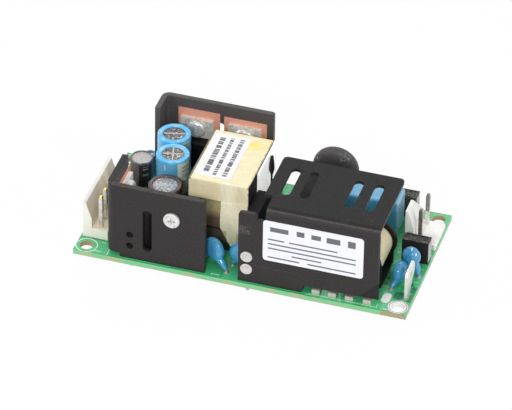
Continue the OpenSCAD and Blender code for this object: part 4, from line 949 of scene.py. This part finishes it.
def sleeveForm(name, radius, height, bare, place, tilt=upright):
    rim = radius * bare
    s = min(capacitor["shoulder"], (radius - rim) * 0.6)
    lip = (radius - rim) * 0.2
    low, groove = capacitor["crimpHeight"], min(capacitor["crimp"], radius * 0.14)
    steps = [(radius - 0.4, 0), (radius - 0.1, 0.12), (radius, 0.4), (radius, low - 0.75),
             (radius - groove * 0.5, low - 0.35), (radius - groove, low), (radius - groove * 0.5, low + 0.35),
             (radius, low + 0.75)]
    steps += arc(radius - s, height - s, s, 0, 90, 7)
    steps += [(rim + lip, height), (rim + lip * 0.3, height - lip * 0.4), (rim, height - lip),
              (rim, height - 1.2)]
    sleeve = turn(name, steps, place, tilt, 72)
    smooth(sleeve, 50)
    return sleeve


# The bare top of a can and the pressed ridges across it
def canForm(radius, height, bare, vents, place, tilt=upright):
    inside, face = radius * bare + 0.12, height - capacitor["recess"]
    steps = [(inside, face - 1.4), (inside, face - 0.12), (inside - 0.25, face - 0.02), (inside * 0.5, face),
             (0.2, face + 0.03)]
    forms = [turn("canTop", steps, vertices=48)]
    smooth(forms[0], 30)
    reach, half = inside * 0.9, capacitor["ventWidth"] / 2
    for angle in vents:
        ridge = addBox("ventRidge", (-reach, -half, face - 0.2),
                       (reach, half, face + capacitor["ventHeight"]))
        roundEdges(ridge, capacitor["ventEdge"])
        setDown(ridge, (0, 0, 0), (0, 0, angle))
        smooth(ridge)
        forms.append(ridge)
    for form in forms:
        setDown(form, place, tilt)
    return forms


def makeCapacitors():
    tops, ridges = [], []
    for node, name, finish, foot, radius, top, bare, vents in capacitorPlaces:
        place, height = (*foot, boardTop), top - boardTop
        settle(sleeveForm(name, radius, height, bare, place), finish, node)
        can, *lines = canForm(radius, height, bare, vents, place)
        tops.append(can)
        ridges += lines
    settle(sleeveForm("bulkSleeve", *bulk["size"], *bulk["place"]), "bulkSleeve", "bulk_capacitor")
    can, *lines = canForm(*bulk["size"], bulk["vents"], *bulk["place"])
    settle(joinPieces(tops + [can], "canTops"), "canMetal", "capacitor_cans")
    settle(joinPieces(ridges + lines, "canRidges"), "paleRivet")


makeCapacitors()
print("capacitors done")

# Coated discs on two legs: body and legs grown together
coatedDisc = {"legRoot": 1.35, "legMiddle": 1.0, "legFoot": 0.55, "footAbove": 0.6, "grain": 0.16}
# Each: its centre, turn, radius, half thickness, and feet
discPlaces = {"left_disc_capacitors": [((-9.2, -19.2, 7.1), -29, 3.8, 1.6, ((-4.6, -21.9), (-13.4, -17.0))),
                                       ((-1.4, -18.0, 6.4), 0, 3.6, 1.6, ((-3.9, -18.0), (1.1, -18.0)))],
              "line_disc_capacitors": [((44.8, -10.3, 5.2), 82, 3.3, 1.9, ((43.4, -14.6), (44.2, -7.8))),
                                       ((46.8, -5.6, 8.0), -20, 2.9, 2.0, ((49.5, -6.5), (44.9, -4.7)))]}


def lensSteps(radius, half, count=18, flat=0.72):
    angles = [math.radians(-90 + 180 * i / count) for i in range(count + 1)]
    return [(radius * math.cos(a) ** flat if math.cos(a) > 1e-6 else 0.0,
             half * math.copysign(abs(math.sin(a)) ** 0.9, math.sin(a))) for a in angles]


def makeDisc(centre, angle, radius, half, feet):
    d = coatedDisc
    parts = [turn("discBody", lensSteps(radius, half), centre, (90, 0, angle), 48)]
    along = Vector((math.cos(math.radians(angle)), math.sin(math.radians(angle)), 0))
    middle = Vector(centre)
    for foot in feet:
        end = Vector((*foot, boardTop + d["footAbove"]))
        side = 1 if (end - middle).dot(along) > 0 else -1
        root = middle + along * side * radius * 0.28 + Vector((0, 0, -radius * 0.42))
        knee = root.lerp(end, 0.55) + along * side * 0.3
        parts.append(drawBar("discLeg", [(root, d["legRoot"]), (knee, d["legMiddle"]), (end, d["legFoot"])]))
    form = joinPieces(parts, "coatedDisc")
    melt(form, d["grain"], 8)
    return form


for node, places in discPlaces.items():
    discs = joinPieces([makeDisc(*place) for place in places], node.split("_")[0] + "Discs")
    settle(discs, "blueCoat", node)

# Solder that has risen round the legs on the upper side, at the discs' feet and the earth blade
topFillet = {"radius": 0.95, "height": 0.75, "wire": 0.36, "bladeFeet": [(48.6, -17.0), (48.6, -15.4)]}


def makeTopFillets():
    r, h, w = topFillet["radius"], topFillet["height"], topFillet["wire"]
    steps = [(r, 0), (r * 0.9, h * 0.12), (r * 0.68, h * 0.3), (r * 0.5, h * 0.6), (w + 0.04, h),
             (w * 0.6, h + 0.03)]
    feet = [foot for places in discPlaces.values() for place in places for foot in place[-1]]
    places = [(*foot, boardTop) for foot in feet + topFillet["bladeFeet"]]
    fillets = joinPieces(copiesAt(turn("topFillet", steps, vertices=28), places), "topFillets")
    smooth(fillets, 60)
    settle(fillets, "dullSolder")


makeTopFillets()

# Thermistor: a thick coated disc behind the cover. Each step of a leg: a height and a radius
coatedThermistor = {"centre": (15.7, 21.6, 14.0), "radius": 7.1, "half": 2.3, "grain": 0.22, "legs": 3.75,
                    "legSteps": [(10.5, 0.95), (7.4, 0.85), (4.8, 0.55)]}


def makeThermistor():
    t = coatedThermistor
    x, y, _ = t["centre"]
    parts = [turn("thermistorBody", lensSteps(t["radius"], t["half"], 24, 0.5), t["centre"], facingFront)]
    for legX in (x - t["legs"], x + t["legs"]):
        parts.append(drawBar("thermistorLeg", [((legX, y, z), r) for z, r in t["legSteps"]]))
    form = joinPieces(parts, "thermistorForm")
    melt(form, t["grain"], 6)
    settle(form, "darkCoat", "thermistor")


makeThermistor()
print("coated parts done")

# Choke under the cover: flanged former, coil wrapped in tape whose turns show
choke = {"centre": (34.4, -8.4, 9.2), "coilRadius": 5.8, "coilHalf": 5.8, "turns": 11, "turnHeight": 0.12,
         "endStep": 0.5, "edge": 0.2}


def makeChoke():
    dress("choke_bobbin", "chokeFormer", "blackFormer", choke["edge"])
    r, half, count = choke["coilRadius"], choke["coilHalf"], choke["turns"]
    wide, low, end = 2 * half / count, r - choke["turnHeight"], r - choke["endStep"]
    steps = [(end, -half)]
    for i in range(count):
        start = -half + 2 * half * i / count
        steps += [(low, start + wide * 0.08), (r, start + wide * 0.35), (r, start + wide * 0.7),
                  (low, start + wide * 0.95)]
    coil = turn("chokeCoil", steps + [(end, half)], choke["centre"], facingFront)
    smooth(coil, 60)
    settle(coil, "creamCoil", "choke_coil")
    dress("choke_core", "chokeRod", "ferrite", choke["edge"])


makeChoke()

# Rod choke by the output heatsink: a shrunk sleeve with a soft shoulder
rodChoke = {"place": (-30.4, -18.9, boardTop), "radius": 3.0, "height": 15.0, "shoulder": 0.9}


def makeRodChoke():
    r, h, s = rodChoke["radius"], rodChoke["height"], rodChoke["shoulder"]
    steps = [(r - 0.5, 0), (r - 0.1, 0.2), (r, 0.6), (r - 0.08, h * 0.3), (r, h * 0.5), (r - 0.06, h * 0.75)]
    steps += arc(r - s, h - s, s, 0, 90, 6) + [(r * 0.5, h), (r * 0.42, h - 0.25), (0.3, h - 0.3)]
    form = turn("rodChokeSleeve", steps, rodChoke["place"], vertices=48)
    smooth(form, 50)
    settle(form, "blackSleeve", "output_choke")


makeRodChoke()

# Box fuses: a shallow panel in the top
boxFuse = {"edge": 0.088, "edgeAngle": 40, "panelInset": 0.55, "panelDepth": 0.1,
           "forms": [("front_fuse", "frontFuse", "fuseCase"), ("back_fuse", "backFuse", "backFuseCase")]}


def makeFuses():
    for node, name, finish in boxFuse["forms"]:
        form = copyOfNode(node, name, 0)
        editFaces(form, lambda centre, normal: normal.z > 0.9)
        bpy.ops.mesh.inset(thickness=boxFuse["panelInset"] * mm, depth=-boxFuse["panelDepth"] * mm)
        setMode("OBJECT")
        roundEdges(form, boxFuse["edge"], angle=boxFuse["edgeAngle"])
        smooth(form)
        settle(form, finish, node)


makeFuses()

# Sleeved lead by the transformer: a thick dark drop that thins to the bare lead. Each step: height, radius
flyingLead = {"place": (0.05, 7.2),
              "steps": [(24.6, 0.3), (24.3, 0.5), (23.2, 0.6), (21.8, 0.76), (20.4, 0.86), (19.4, 0.78),
                        (18.4, 0.5), (17.7, 0.3), (9.0, 0.3)]}
lead = drawBar("flyingLead", [((*flyingLead["place"], z), r) for z, r in flyingLead["steps"]], 20)
smooth(lead, 60)
settle(lead, "blackSleeve", "flying_lead")
print("choke, fuses and lead done")

# Everything else that keeps its node's form
plainForms = [("shroud_insulator", "coverInsulator", "blackFilm", 0.08),
              ("shroud_label", "coverLabel", "coverPaper", 0.04),
              ("film_capacitor", "filmCapacitor", "blueCase", 0.3),
              ("side_barrier", "sideBarrier", "whiteMould", 0.1),
              ("bridge_rectifier", "bridgeRectifier", "blackEpoxy", 0.25),
              ("output_header", "outputHeader", "ivoryNylon", 0.14),
              ("input_header", "inputHeader", "whiteNylon", 0.14),
              ("output_pins", "outputPins", "goldPin", 0.06), ("input_pins", "inputPins", "steelPin", 0.06),
              ("chip_capacitors", "chipBodies", "chipBody", 0.08), ("chip_ends", "chipEnds", "chipEnd", 0.1),
              ("optocoupler", "optocouplerForm", "optoMould", 0.1),
              ("control_chip", "controlChip", "controllerBody", 0.08),
              ("heatsink_pins", "heatsinkLegs", "sheetLeg", 0.08)]
for form in plainForms:
    dress(*form)

# Earth blade: its foot narrows to one leg
blade = {"edge": 0.12, "cutAt": (48.6, -9.8, 6.6), "cutFoot": (48.6, -14.6, boardTop)}


def makeBlade():
    form = copyOfNode("earth_blade", "earthBlade", 0)
    high = Vector(blade["cutAt"])
    run = high - Vector(blade["cutFoot"])
    editAll(form)
    bpy.ops.mesh.bisect(plane_co=high * mm, plane_no=(0, run.z, -run.y), use_fill=True, clear_outer=True)
    setMode("OBJECT")
    roundEdges(form, blade["edge"])
    smooth(form, flatFaces=True)
    settle(form, "tinned", "earth_blade")


makeBlade()

# Nodes whose own form is right keep it
keptNodes = {"board": "boardMask", "solder_joints": "solder", "component_leads": "tinned",
             "transformer_pins": "tinned"}
for node, finish in keptNodes.items():
    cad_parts[node].data.materials.clear()
    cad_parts[node].data.materials.append(looks[finish])
print("plain forms done")

# Camera at the photograph's viewing angle
cameraView = {"azimuth": 16.579, "elevation": 36.706, "roll": 0.991, "distance": 1418.6,
              "focalPixels": 4815.8, "imageWidth": 512, "targetX": -2.459, "targetZ": 11.063,
              "sensorWidth": 36, "clip": (0.05, 20)}


def makeCamera():
    az, el, roll = (math.radians(cameraView[k]) for k in ("azimuth", "elevation", "roll"))
    back = Vector((math.sin(az) * math.cos(el), -math.cos(az) * math.cos(el), math.sin(el)))
    right = Vector((math.cos(az), math.sin(az), 0))
    up = back.cross(right)
    right, up = (right * math.cos(roll) + up * math.sin(roll), up * math.cos(roll) - right * math.sin(roll))
    target = Vector((cameraView["targetX"], 0, cameraView["targetZ"]))
    data = bpy.data.cameras.new("photoCamera")
    data.sensor_width = cameraView["sensorWidth"]
    data.lens = cameraView["focalPixels"] * data.sensor_width / cameraView["imageWidth"]
    data.clip_start, data.clip_end = cameraView["clip"]
    camera = newObject("photoCamera", data)
    camera.matrix_world = Matrix((right, up, back)).transposed().to_4x4()
    camera.location = (target + back * cameraView["distance"]) * mm
    bpy.context.scene.camera = camera


makeCamera()

# Floor and light. Each lamp: its name, place, size and power
studio = {"floorSize": 6.0, "floorZ": cadBox[0][2], "floorTone": (0.85, 0.85, 0.85, 1), "floorRough": 0.9,
          "floorGlow": 0.96, "white": (1, 1, 1, 1), "worldStrength": 0.7, "lampAim": (0, 0, 0.01)}
lamps = [("keyLamp", (0.1, -0.9, 0.62), 0.16, 3.4), ("fillLamp", (0.8, -0.2, 0.55), 0.25, 1.4),
         ("leftLamp", (-0.8, -0.25, 0.5), 0.4, 1.5), ("backLamp", (-0.1, 0.7, 0.8), 0.5, 0.8)]


def seenDirectly(tree):
    path = put(tree, "ShaderNodeLightPath").outputs
    return calc(tree, "MAXIMUM", calc(tree, "MAXIMUM", path["Is Camera Ray"], path["Is Glossy Ray"]),
                path["Is Transmission Ray"])


def makeFloor():
    clearSelection()
    bpy.ops.mesh.primitive_plane_add(size=studio["floorSize"], location=(0, 0, studio["floorZ"]))
    floor = bpy.context.object
    floor.name = "studioFloor"
    material = bpy.data.materials.new("paleFloor")
    material.use_nodes = True
    tree = material.node_tree
    shader = tree.nodes["Principled BSDF"]
    shader.inputs["Base Color"].default_value = studio["floorTone"]
    shader.inputs["Roughness"].default_value = studio["floorRough"]
    glow = put(tree, "ShaderNodeEmission", {"Color": studio["white"], "Strength": 1.0})
    share = calc(tree, "MULTIPLY", seenDirectly(tree), studio["floorGlow"])
    blend = put(tree, "ShaderNodeMixShader", {0: share, 1: shader.outputs[0], 2: glow.outputs[0]})
    tree.links.new(blend.outputs[0], tree.nodes["Material Output"].inputs[0])
    floor.data.materials.append(material)


def makeLight():
    world = bpy.data.worlds.new("studioWorld")
    bpy.context.scene.world = world
    world.use_nodes = True
    tree = world.node_tree
    sky = tree.nodes["Background"]
    sky.inputs["Color"].default_value = studio["white"]
    strength = spread(tree, seenDirectly(tree), 0, 1, studio["worldStrength"], 1.0)
    tree.links.new(strength, sky.inputs["Strength"])
    for name, place, size, power in lamps:
        data = bpy.data.lights.new(name, "AREA")
        data.shape = "DISK"
        data.size = size
        data.energy = power
        lamp = newObject(name, data)
        lamp.location = place
        aim = Vector(studio["lampAim"]) - Vector(place)
        lamp.rotation_euler = aim.to_track_quat("-Z", "Y").to_euler()
    bpy.context.scene.view_settings.view_transform = "Standard"


makeFloor()
makeLight()
print("studio done")
